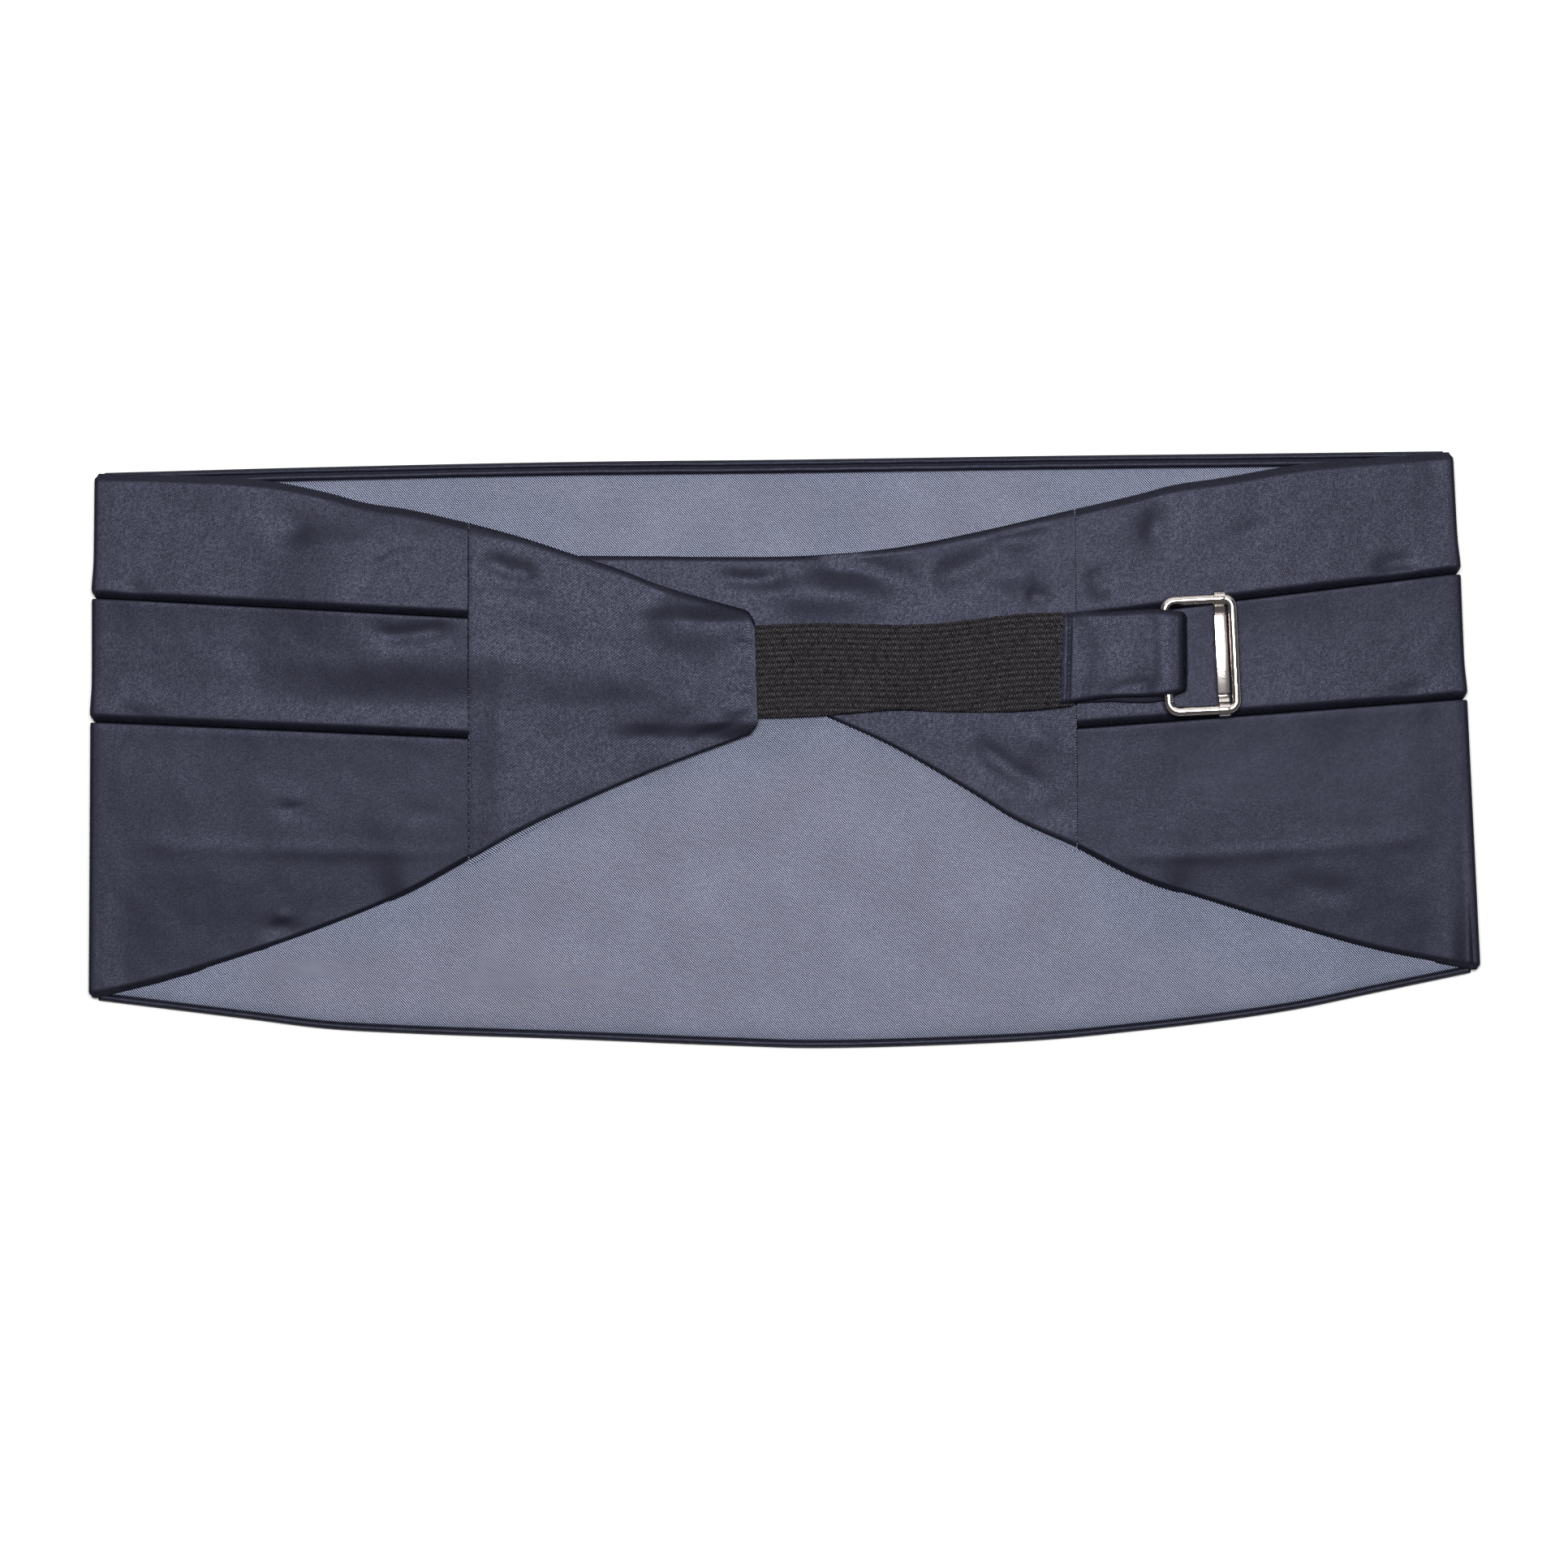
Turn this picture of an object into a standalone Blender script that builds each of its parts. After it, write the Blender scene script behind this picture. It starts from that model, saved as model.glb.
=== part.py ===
"""Pleated satin cummerbund, laid flat with its lining side up and its two ends folded over.

The garment lies on a table. +X runs to the right along the waist, +Y towards the waist's upper edge and +Z
up. The origin is under the middle of the outline, on the table. Sizes below are in millimetres, and MM turns
them to metres.

From the table up: the pleated front with its outer side down, the lining and the two bindings on its inner
side, the right back piece and its strap, the two wings (the ends of the same pleated cloth, folded over) with
the left back piece, then the elastic, its satin tab and the buckle. Neighbouring pieces stay GAP apart.
"""
import math
from typing import Callable, NamedTuple

import bmesh
import bpy
from mathutils import Vector

MM = 0.001
GAP = 0.3  # between neighbouring pieces, at seams and between layers


class EdgePoint(NamedTuple):
    """A point that an edge of the cloth passes through."""

    x: float
    y: float


class FaceHeight(NamedTuple):
    """The tab's inner height, from its lower layer to its upper one, at a place along it."""

    x: float
    over: float


class WallSteps(NamedTuple):
    """Heights of a pleated wall's outer steps over its inner face."""

    crest: float  # folded edge of a band, where it laps the band above
    lip: float  # underside of that folded edge, the pleat's upper side
    floor: float  # the pleat's lower side
    tail: float  # a band where it runs into the pleat
    top: float  # the wall's upper edge
    bottom: float  # the wall's lower edge


# ---- cloth thicknesses and layers, from the table up ----
FRONT_WALL = 1.4
LINING_WALL = 1.0
BACK_WALL = 1.1
ELASTIC_WALL = 1.2
TAB_WALL = 1.0
FRONT_STEPS = WallSteps(crest=1.4, lip=0.9, floor=0.6, tail=1.4, top=1.4, bottom=1.4)
WING_STEPS = WallSteps(crest=1.9, lip=1.3, floor=1.0, tail=1.02, top=1.4, bottom=1.1)
LINING_Z = FRONT_WALL + GAP
WING_Z = LINING_Z + LINING_WALL + GAP
WING_CREST_Z = WING_Z + WING_STEPS.crest
BACK_TOP_Z = WING_Z + BACK_WALL
OVER_BACK_Z = BACK_TOP_Z + GAP

# ---- the pleats ----
PLEAT_DEPTH = 4.0
PLEAT_MOUTH = 0.45
CREST_ROUND = 0.3
EDGE_ROUND = 0.35
BAND_STEPS = 6  # straight stretches across a band's outer face
INNER_STEPS = 20  # and across the wall's inner face

# ---- the front's outline: x, y ----
TOP_EDGE = [EdgePoint(-178.5, 71.7), EdgePoint(-119, 73.3), EdgePoint(-56, 74.6), EdgePoint(0, 75.2),
            EdgePoint(70, 76.2), EdgePoint(133, 76.9), EdgePoint(173, 77.4)]
BOTTOM_EDGE = [EdgePoint(-180.4, -64.9), EdgePoint(-140, -69.9), EdgePoint(-119, -72.5), EdgePoint(-98, -73.7),
               EdgePoint(-56, -75.2), EdgePoint(-14, -76.9), EdgePoint(7, -77.5), EdgePoint(49, -76.4),
               EdgePoint(70, -75.2), EdgePoint(91, -73.1), EdgePoint(112, -70.6), EdgePoint(133, -67.4),
               EdgePoint(154, -63), EdgePoint(180.4, -57.5)]

# ---- the side folds, as the outline shows them: upper edge, both pleats, lower edge ----
LEFT_FOLD = [EdgePoint(-178.4, 71.7), EdgePoint(-178.8, 38.9), EdgePoint(-179.2, 6.9), EdgePoint(-180, -64.9)]
RIGHT_FOLD = [EdgePoint(172.7, 77.4), EdgePoint(174.4, 45.2), EdgePoint(176.1, 12.8), EdgePoint(179.9, -57.5)]
FOLD_INNER_RADIUS = (WING_Z - FRONT_WALL) / 2
FOLD_MID_Z = (WING_Z + FRONT_WALL) / 2

# ---- the left wing and the back piece sewn to it at LEFT_SEAM_X ----
LEFT_SEAM_X = -81.9
LEFT_WING_TOP = [EdgePoint(-178.5, 71.4), EdgePoint(-161, 71.1), EdgePoint(-134, 69.5), EdgePoint(-119, 66.6),
                 EdgePoint(-108.5, 63.8), EdgePoint(-98, 62.2), EdgePoint(-81.9, 58.6)]
LEFT_WING_BOTTOM = [EdgePoint(-180.4, -64.9), EdgePoint(-161, -60.3), EdgePoint(-140, -53.8),
                    EdgePoint(-119, -46.4), EdgePoint(-98, -37.6), EdgePoint(-81.9, -28.8)]
LEFT_PLEATS_AT_SEAM = [33.8, 2.7]
LEFT_BACK_TOP = [EdgePoint(-81.9, 58.6), EdgePoint(-68.7, 55), EdgePoint(-54, 50.2), EdgePoint(-43.5, 46.8),
                 EdgePoint(-32.8, 42.6), EdgePoint(-22, 39.3), EdgePoint(-10.3, 36.1)]
LEFT_BACK_BOTTOM = [EdgePoint(-81.9, -28.8), EdgePoint(-68.7, -21.2), EdgePoint(-56, -15), EdgePoint(-35, -5.7),
                    EdgePoint(-14, 2.4), EdgePoint(-8.8, 4.4)]
TIP_TOP = EdgePoint(-7.8, 33)
TIP_BOTTOM = EdgePoint(-7, 6.5)
TIP_CORNER = 2.4

# ---- the right wing and the back piece and strap sewn to it at RIGHT_SEAM ----
RIGHT_SEAM = [EdgePoint(75.2, 62.2), EdgePoint(75.8, -25.6)]
RIGHT_WING_TOP = [EdgePoint(75.2, 62.2), EdgePoint(91, 65.9), EdgePoint(101, 68.5), EdgePoint(112, 70.1),
                  EdgePoint(133, 73.7), EdgePoint(154, 75.6), EdgePoint(173, 77.1)]
RIGHT_WING_BOTTOM = [EdgePoint(75.2, -25.4), EdgePoint(91, -33.4), EdgePoint(112, -40.3), EdgePoint(133, -46.8),
                     EdgePoint(154, -52.5), EdgePoint(180.4, -57.5)]
RIGHT_PLEATS_AT_SEAM = [33.2, 5.3]
STRAP_END_X = -110.5
STRAP_TOP_Y = 50.2
STRAP_BOTTOM_Y = 25.8
RIGHT_BACK_TOP = [EdgePoint(STRAP_END_X, STRAP_TOP_Y), EdgePoint(-35, 50), EdgePoint(-14, 49.8),
                  EdgePoint(7, 50.2), EdgePoint(28, 52.1), EdgePoint(49, 56.1), EdgePoint(75.2, 62.2)]
RIGHT_BACK_BOTTOM = [EdgePoint(STRAP_END_X, STRAP_BOTTOM_Y), EdgePoint(-50, 25.6), EdgePoint(-30, 24.4),
                     EdgePoint(-12, 18.4), EdgePoint(11, 8.4), EdgePoint(28, 0.6), EdgePoint(49, -11.6),
                     EdgePoint(59.4, -18.1), EdgePoint(75.8, -25.5)]
STRAP_END = [(0.0, 5.0), (1.6, 2.6), (4.2, 0.8)]  # rounded end: distance in from the end, cut off each edge

# ---- how the left wing and back piece rise over what lies under them ----
STRAP_CLEAR = 2.5  # how far round the strap the cloth over it keeps its full height
STRAP_SLOPE = 6.0  # and over what length it falls from there
SEAM_SLOPE = 9.0  # the left back piece rises from its seam over this length
SIDE_SINK = 0.6  # share of that rise that it loses beside the strap
SIDE_SLOPE = 14.0
SINK_ENDS_X = (-40, -25)  # towards the tip it no longer sinks
TIP_RISE_X = (-24, -14)  # where it rises over the elastic
TIP_SINK = 0.8  # share of that rise that it loses beside the elastic
TIP_SIDE_SLOPE = 5.0
ELASTIC_RISE_X = (52, 70)  # where the elastic rises from the back piece into the tab

# ---- bindings on the front's inner side, measured from its edges ----
TOP_BINDING_WIDTH = 3.2
TOP_BINDING_GROOVE = 1.75  # from the upper edge to the groove between the two ridges
BOTTOM_BINDING_WIDTH = 1.5
BINDING_INSET = 0.3
GROOVE_DEPTH = 0.45

# ---- the elastic: it enters the left tip and ends inside the tab ----
ELASTIC_ENDS_X = [-11.5, 74.6]
ELASTIC_TOP = [EdgePoint(-12, 31.8), EdgePoint(7, 32.6), EdgePoint(36, 32.3), EdgePoint(60.5, 34.9),
               EdgePoint(75, 35.4)]
ELASTIC_BOTTOM = [EdgePoint(-12, 7.8), EdgePoint(7, 8.4), EdgePoint(28, 10), EdgePoint(44, 9.5),
                  EdgePoint(60.5, 9.7), EdgePoint(75, 11.2)]
WAVE_FOOT = EdgePoint(20.5, 9)  # a soft wave crosses the elastic from its lower edge here
WAVE_HEAD = EdgePoint(38.5, 33)  # to its upper edge here
WAVE_HEIGHT = 1.6
WAVE_HALF_WIDTH = 6.0

# ---- the buckle ----
WIRE_RADIUS = 1.35
FRAME_LENGTH = 28.6  # along the strap slot, between the long wires' centrelines
FRAME_WIDTH = 17.5  # along the waist, between the two bars' centrelines
FRAME_CORNER = 2.2
FRAME_TURN = math.radians(2.8)
FRAME_CENTRE = EdgePoint(107.2, 24.2)
SLIDER_FROM_BAR = 14.25  # from the bar in the tab to the slider's middle
SLIDER_WIDTH = 2.95
SLIDER_THICKNESS = 1.2
CLASP_RADIUS = 2.6
CLASP_BORE_RADIUS = WIRE_RADIUS + GAP

# ---- the tab: a strip that runs under the elastic's end, round the buckle's bar and back over it ----
TAB_UNDER_Z = WING_CREST_Z + GAP
TAB_INNER_Z = TAB_UNDER_Z + TAB_WALL
BAR_Z = TAB_INNER_Z + GAP + WIRE_RADIUS
ELASTIC_END_Z = TAB_INNER_Z + GAP
TAB_FOLD_X = 103.8
TAB_FOLD_RADIUS = 1.7
TAB_TOP = [EdgePoint(71.8, 35.3), EdgePoint(85, 35.7), EdgePoint(96, 36.1), EdgePoint(104, 35.2)]
TAB_BOTTOM = [EdgePoint(71, 11.4), EdgePoint(83, 13.2), EdgePoint(98, 13.9), EdgePoint(104, 15.2)]
TAB_UNDER_BOTTOM = [EdgePoint(71, 11.6), EdgePoint(83, 12.2), EdgePoint(97.4, 12.4), EdgePoint(104, 15.2)]
TAB_UNDER_START_X = 72.6
TAB_LEAN = -0.8  # the sewn end leans this far at its lower edge
TAB_LEAN_LENGTH = 8.0  # and this fades over this length
TAB_OVER_ELASTIC = ELASTIC_WALL + 2 * GAP
TAB_OVER_BAR = 2 * (WIRE_RADIUS + GAP)
TAB_FACE = [FaceHeight(71, TAB_OVER_ELASTIC), FaceHeight(75.5, TAB_OVER_ELASTIC), FaceHeight(81, 0.7),
            FaceHeight(88, 0.5), FaceHeight(93, 1.4), FaceHeight(96.3, TAB_OVER_BAR - 0.4),
            FaceHeight(98.5, TAB_OVER_BAR), FaceHeight(100.6, TAB_OVER_BAR - 0.7), FaceHeight(102.3, 1.5)]

# ---- materials: name, colour, roughness, metallic ----
SATIN = ("satin", (0.055, 0.058, 0.085), 0.42, 0.0)
TWILL = ("twill_lining", (0.21, 0.225, 0.31), 0.62, 0.0)
ELASTIC_KNIT = ("elastic_knit", (0.022, 0.021, 0.024), 0.8, 0.0)
METAL = ("satin_nickel", (0.66, 0.63, 0.6), 0.3, 1.0)

Curve = Callable[[float], float]
Place = Callable[[float, float, float], Vector]
Ring = list[Vector]


# ---------------------------------------------------------------- shapes by formula

def mix(a: float, b: float, share: float) -> float:
    """The value that lies share of the way from a to b."""
    return a + (b - a) * share


def ease(share: float) -> float:
    """A share from 0 to 1 that starts and ends softly."""
    share = min(1.0, max(0.0, share))
    return share * share * (3 - 2 * share)


def through(rows: list) -> Curve:
    """A smooth curve through a table's rows: the second column as a function of the first."""
    xs = [row[0] for row in rows]
    ys = [row[1] for row in rows]
    last = len(rows) - 1
    chords = [(ys[i + 1] - ys[i]) / (xs[i + 1] - xs[i]) for i in range(last)]
    slopes = [chords[0]] + [(chords[i - 1] + chords[i]) / 2 for i in range(1, last)] + [chords[-1]]

    def value(x: float) -> float:
        i = 0
        while i < last - 1 and x > xs[i + 1]:
            i += 1
        span = xs[i + 1] - xs[i]
        t = min(1.0, max(0.0, (x - xs[i]) / span))
        return (ys[i] * (1 + 2 * t) * (1 - t) ** 2 + slopes[i] * span * t * (1 - t) ** 2
                + ys[i + 1] * t * t * (3 - 2 * t) + slopes[i + 1] * span * t * t * (t - 1))

    return value


def line_between(a: EdgePoint, b: EdgePoint) -> Curve:
    """The straight line through two points: y as a function of x."""
    return lambda x: mix(a.y, b.y, (x - a.x) / (b.x - a.x))


# ---------------------------------------------------------------- meshes

def material(spec: tuple) -> bpy.types.Material:
    """The material of that name, made once."""
    name, colour, roughness, metallic = spec
    made = bpy.data.materials.get(name)
    if made is None:
        made = bpy.data.materials.new(name)
        made.use_nodes = True
        shader = made.node_tree.nodes["Principled BSDF"]
        shader.inputs["Base Color"].default_value = (*colour, 1)
        shader.inputs["Roughness"].default_value = roughness
        shader.inputs["Metallic"].default_value = metallic
    return made


def add_object(name: str, data, collection, spec: tuple) -> bpy.types.Object:
    """An object of the garment, with its material, in its collection."""
    made = bpy.data.objects.new(name, data)
    data.materials.append(material(spec))
    collection.objects.link(made)
    return made


def loft(name: str, rings: list[Ring], collection, spec: tuple) -> bpy.types.Object:
    """A closed solid through rings of equal point counts, with a flat cap on each end."""
    bm = bmesh.new()
    rows = [[bm.verts.new(point * MM) for point in ring] for ring in rings]
    count = len(rows[0])
    for near, far in zip(rows, rows[1:]):
        for i in range(count):
            j = (i + 1) % count
            bm.faces.new((near[i], near[j], far[j], far[i]))
    caps = [bm.faces.new(rows[0]), bm.faces.new(rows[-1])]
    bmesh.ops.triangulate(bm, faces=caps)
    bmesh.ops.recalc_face_normals(bm, faces=bm.faces)
    mesh = bpy.data.meshes.new(name)
    bm.to_mesh(mesh)
    bm.free()
    mesh.shade_smooth()
    mesh.set_sharp_from_angle(angle=math.radians(40))
    return add_object(name, mesh, collection, spec)


def shell_ring(top: EdgePoint, bottom: EdgePoint, under: Callable[[float, float], float], wall: float,
               parts: int) -> Ring:
    """One section of a plain wall: underside from the upper to the lower edge, and back over its upper side."""
    length = math.hypot(top.x - bottom.x, top.y - bottom.y)
    inset = min(EDGE_ROUND / length, 0.2)
    shares = [mix(inset, 1 - inset, i / parts) for i in range(parts + 1)]

    def at(share: float, rise: float) -> Vector:
        x, y = mix(top.x, bottom.x, share), mix(top.y, bottom.y, share)
        return Vector((x, y, under(x, y) + rise))

    return ([at(0, wall / 2)] + [at(share, 0) for share in shares] + [at(1, wall / 2)]
            + [at(share, wall) for share in reversed(shares)])


# ---------------------------------------------------------------- the pleated front and wings

def pleat_points(y: float, steps: WallSteps) -> list[tuple[float, float]]:
    """The outer points that go into a pleat and round its folded edge: place across the cloth, height."""
    return [
        (y + 2 * PLEAT_MOUTH, steps.tail),
        (y + PLEAT_MOUTH, steps.floor),
        (y - PLEAT_DEPTH, steps.floor),
        (y - PLEAT_DEPTH, steps.lip),
        (y - CREST_ROUND / 2, steps.lip),
        (y, (steps.lip + steps.crest) / 2),
        (y - CREST_ROUND, steps.crest),
    ]


def pleated_ring(keys: list[EdgePoint], steps: WallSteps, place: Place) -> Ring:
    """One section of the pleated wall. keys are its upper edge, its two pleats and its lower edge."""
    ys = [key.y for key in keys]
    top, bottom = ys[0] - EDGE_ROUND, ys[3] + EDGE_ROUND

    def x_at(y: float) -> float:
        i = 0 if y > ys[1] else 1 if y > ys[2] else 2
        return mix(keys[i].x, keys[i + 1].x, (y - ys[i]) / (ys[i + 1] - ys[i]))

    def ramp(start: tuple[float, float], end: tuple[float, float]) -> list[tuple[float, float]]:
        return [(mix(start[0], end[0], i / BAND_STEPS), mix(start[1], end[1], i / BAND_STEPS))
                for i in range(1, BAND_STEPS)]

    first, second = pleat_points(ys[1], steps), pleat_points(ys[2], steps)
    outer = [(top, steps.top), *ramp((top, steps.top), first[0]), *first, *ramp(first[-1], second[0]),
             *second, *ramp(second[-1], (bottom, steps.bottom)), (bottom, steps.bottom)]
    inner = [(mix(bottom, top, i / INNER_STEPS), 0.0) for i in range(INNER_STEPS + 1)]
    section = [(ys[0], steps.top / 2), *outer, (ys[3], steps.bottom / 2), *inner]
    return [place(x_at(y), y, rise) for y, rise in section]


def mix_steps(a: WallSteps, b: WallSteps, share: float) -> WallSteps:
    """The steps share of the way from a to b."""
    return WallSteps(*(mix(p, q, share) for p, q in zip(a, b)))


def fold_line(outline: list[EdgePoint], side: int) -> list[EdgePoint]:
    """The middle of a side fold's bend, in from its outline."""
    halfway = mix_steps(FRONT_STEPS, WING_STEPS, 0.5)
    reach = FOLD_INNER_RADIUS + halfway.tail
    return [EdgePoint(point.x - side * reach, point.y) for point in outline]


def front_keys(left: list[EdgePoint], right: list[EdgePoint], share: float) -> list[EdgePoint]:
    """The key points of the front's section, share of the way from the left fold to the right one."""
    curves = [through(TOP_EDGE), line_between(left[1], right[1]), line_between(left[2], right[2]),
              through(BOTTOM_EDGE)]
    xs = [mix(a.x, b.x, share) for a, b in zip(left, right)]
    return [EdgePoint(x, curve(x)) for x, curve in zip(xs, curves)]


def wing_keys(fold: list[EdgePoint], seam: list[EdgePoint], edges: tuple, share: float) -> list[EdgePoint]:
    """The key points of a wing's section, share of the way from its fold to its seam."""
    curves = [through(edges[0]), line_between(fold[1], seam[1]), line_between(fold[2], seam[2]),
              through(edges[1])]
    xs = [mix(a.x, b.x, share) for a, b in zip(fold, seam)]
    return [EdgePoint(x, curve(x)) for x, curve in zip(xs, curves)]


def seam_keys(upper: EdgePoint, lower: EdgePoint, pleats: list[float]) -> list[EdgePoint]:
    """A seam's key points: its ends and where the pleats meet it."""
    between = [EdgePoint(mix(upper.x, lower.x, (upper.y - y) / (upper.y - lower.y)), y) for y in pleats]
    return [upper, *between, lower]


def flat_place(side: int, z: float) -> Place:
    """Places a wall's points on a level: side 1 raises the outer side, -1 lowers it."""
    return lambda x, y, rise: Vector((x, y, z + side * rise))


def strap_lift(x: float, y: float) -> float:
    """How far the cloth over the strap is raised by it at a place."""
    off_x = max(0.0, STRAP_END_X - x)
    off_y = max(0.0, y - STRAP_TOP_Y, STRAP_BOTTOM_Y - y)
    return (OVER_BACK_Z - WING_Z) * (1 - ease((math.hypot(off_x, off_y) - STRAP_CLEAR) / STRAP_SLOPE))


def place_over_strap(x: float, y: float, rise: float) -> Vector:
    """Places the left wing's points, which the strap's end lifts."""
    return Vector((x, y, WING_Z + rise + strap_lift(x, y)))


def bend_place(side: int, angle: float) -> Place:
    """Places a wall's points round a side fold, at that angle over the horizon."""
    def place(x: float, y: float, rise: float) -> Vector:
        reach = FOLD_INNER_RADIUS + rise
        return Vector((x + side * reach * math.cos(angle), y, FOLD_MID_Z + reach * math.sin(angle)))

    return place


def wing_rings(fold: list[EdgePoint], seam: list[EdgePoint], edges: tuple, side: int, place: Place,
               stretches: int) -> list[Ring]:
    """The rings of one wing, from the front's end of the fold to the seam."""
    bends = 8
    rings = []
    for i in range(1, bends + 1):
        share = i / bends
        steps = mix_steps(FRONT_STEPS, WING_STEPS, share)
        rings.append(pleated_ring(fold, steps, bend_place(side, math.radians(180 * share - 90))))
    for i in range(1, stretches + 1):
        keys = wing_keys(fold, seam, edges, i / stretches)
        rings.append(pleated_ring(keys, WING_STEPS, place))
    return rings


def build_front_panel(collection) -> None:
    """The pleated satin, one wall from the right seam round the front to the left seam."""
    left, right = fold_line(LEFT_FOLD, -1), fold_line(RIGHT_FOLD, 1)
    left_seam = seam_keys(EdgePoint(LEFT_SEAM_X, LEFT_WING_TOP[-1].y),
                          EdgePoint(LEFT_SEAM_X, LEFT_WING_BOTTOM[-1].y), LEFT_PLEATS_AT_SEAM)
    right_seam = seam_keys(*RIGHT_SEAM, RIGHT_PLEATS_AT_SEAM)
    stretches = 28
    front = [pleated_ring(front_keys(left, right, i / stretches), FRONT_STEPS, flat_place(-1, FRONT_WALL))
             for i in range(stretches + 1)]
    left_edges, right_edges = (LEFT_WING_TOP, LEFT_WING_BOTTOM), (RIGHT_WING_TOP, RIGHT_WING_BOTTOM)
    left_wing = wing_rings(left, left_seam, left_edges, -1, place_over_strap, 24)
    right_wing = wing_rings(right, right_seam, right_edges, 1, flat_place(1, WING_Z), 12)
    loft("front_panel", [*reversed(left_wing), *front, *right_wing], collection, SATIN)


# ---------------------------------------------------------------- lining and bindings

def front_stations(count: int, level: int) -> list[float]:
    """Places along the front's upper edge (level 0) or lower edge (level -1), just inside both side folds."""
    start = LEFT_FOLD[level].x + 2 * FRONT_WALL
    end = RIGHT_FOLD[level].x - 2 * FRONT_WALL
    return [mix(start, end, i / count) for i in range(count + 1)]


def build_front_lining(collection) -> None:
    """The twill lining on the front's inner side, between the two bindings."""
    top, bottom = through(TOP_EDGE), through(BOTTOM_EDGE)
    above = BINDING_INSET + TOP_BINDING_WIDTH + GAP
    below = BINDING_INSET + BOTTOM_BINDING_WIDTH + GAP
    rings = [shell_ring(EdgePoint(upper, top(upper) - above), EdgePoint(lower, bottom(lower) + below),
                        lambda x, y: LINING_Z, LINING_WALL, 4)
             for upper, lower in zip(front_stations(28, 0), front_stations(28, -1))]
    loft("front_lining", rings, collection, TWILL)


def binding_ring(x: float, edge: float, profile: list[tuple[float, float]], side: int) -> Ring:
    """One section of a binding: profile rows are the distance in from the edge and the height."""
    return [Vector((x, edge - side * (BINDING_INSET + inwards), LINING_Z + height))
            for inwards, height in profile]


def build_bindings(collection) -> None:
    """The satin turned over the upper edge, with two ridges, and the narrow one at the lower edge."""
    round_off = 0.35
    crest = LINING_WALL
    groove = TOP_BINDING_GROOVE - BINDING_INSET
    top_profile = [(0, 0), (0, crest - round_off), (round_off, crest), (groove - round_off, crest),
                   (groove, crest - GROOVE_DEPTH), (groove + round_off, crest),
                   (TOP_BINDING_WIDTH - round_off, crest), (TOP_BINDING_WIDTH, crest - round_off),
                   (TOP_BINDING_WIDTH, 0)]
    bottom_profile = [(0, 0), (0, crest - round_off), (round_off, crest),
                      (BOTTOM_BINDING_WIDTH - round_off, crest), (BOTTOM_BINDING_WIDTH, crest - round_off),
                      (BOTTOM_BINDING_WIDTH, 0)]
    top, bottom = through(TOP_EDGE), through(BOTTOM_EDGE)
    loft("top_binding", [binding_ring(x, top(x), top_profile, 1) for x in front_stations(20, 0)],
         collection, SATIN)
    loft("bottom_binding", [binding_ring(x, bottom(x), bottom_profile, -1) for x in front_stations(28, -1)],
         collection, SATIN)


# ---------------------------------------------------------------- back pieces

def share_between(x: float, ends: tuple[float, float]) -> float:
    """A soft share that goes from 0 at the first end to 1 at the second."""
    return ease((x - ends[0]) / (ends[1] - ends[0]))


def left_back_under(x: float, y: float) -> float:
    """The height of the left back piece's underside: over the strap, and over the elastic at its tip."""
    off_strap = max(0.0, y - STRAP_TOP_Y, STRAP_BOTTOM_Y - y)
    sink = SIDE_SINK * ease((off_strap - STRAP_CLEAR) / SIDE_SLOPE) * (1 - share_between(x, SINK_ENDS_X))
    rise = (OVER_BACK_Z - WING_Z) * ease((x - LEFT_SEAM_X - GAP) / SEAM_SLOPE) * (1 - sink)
    over_strap = WING_Z + max(rise, strap_lift(x, y))
    off_elastic = max(y - ELASTIC_TOP[0].y, ELASTIC_BOTTOM[0].y - y) - 2 * GAP
    lift = share_between(x, TIP_RISE_X) * (1 - TIP_SINK * ease(off_elastic / TIP_SIDE_SLOPE))
    return mix(over_strap, OVER_BACK_Z + ELASTIC_WALL + GAP, lift)


def build_back_piece_left(collection) -> None:
    """The back piece that tapers from the left seam to the blunt tip holding the elastic."""
    top, bottom = through(LEFT_BACK_TOP), through(LEFT_BACK_BOTTOM)
    start, end = LEFT_SEAM_X + GAP, LEFT_BACK_TOP[-1].x
    stretches = 20
    xs = [mix(start, end, i / stretches) for i in range(stretches + 1)]
    lean = LEFT_BACK_BOTTOM[-1].x - end
    sections = [(EdgePoint(x, top(x)), EdgePoint(x + lean * (x - start) / (end - start), bottom(x)))
                for x in xs]
    sections.append((EdgePoint(TIP_TOP.x - TIP_CORNER / 3, TIP_TOP.y + TIP_CORNER / 2),
                     EdgePoint(TIP_BOTTOM.x - TIP_CORNER / 3, TIP_BOTTOM.y - TIP_CORNER / 2)))
    sections.append((TIP_TOP, TIP_BOTTOM))
    rings = [shell_ring(upper, lower, left_back_under, BACK_WALL, 14) for upper, lower in sections]
    loft("back_piece_left", rings, collection, SATIN)


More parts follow.
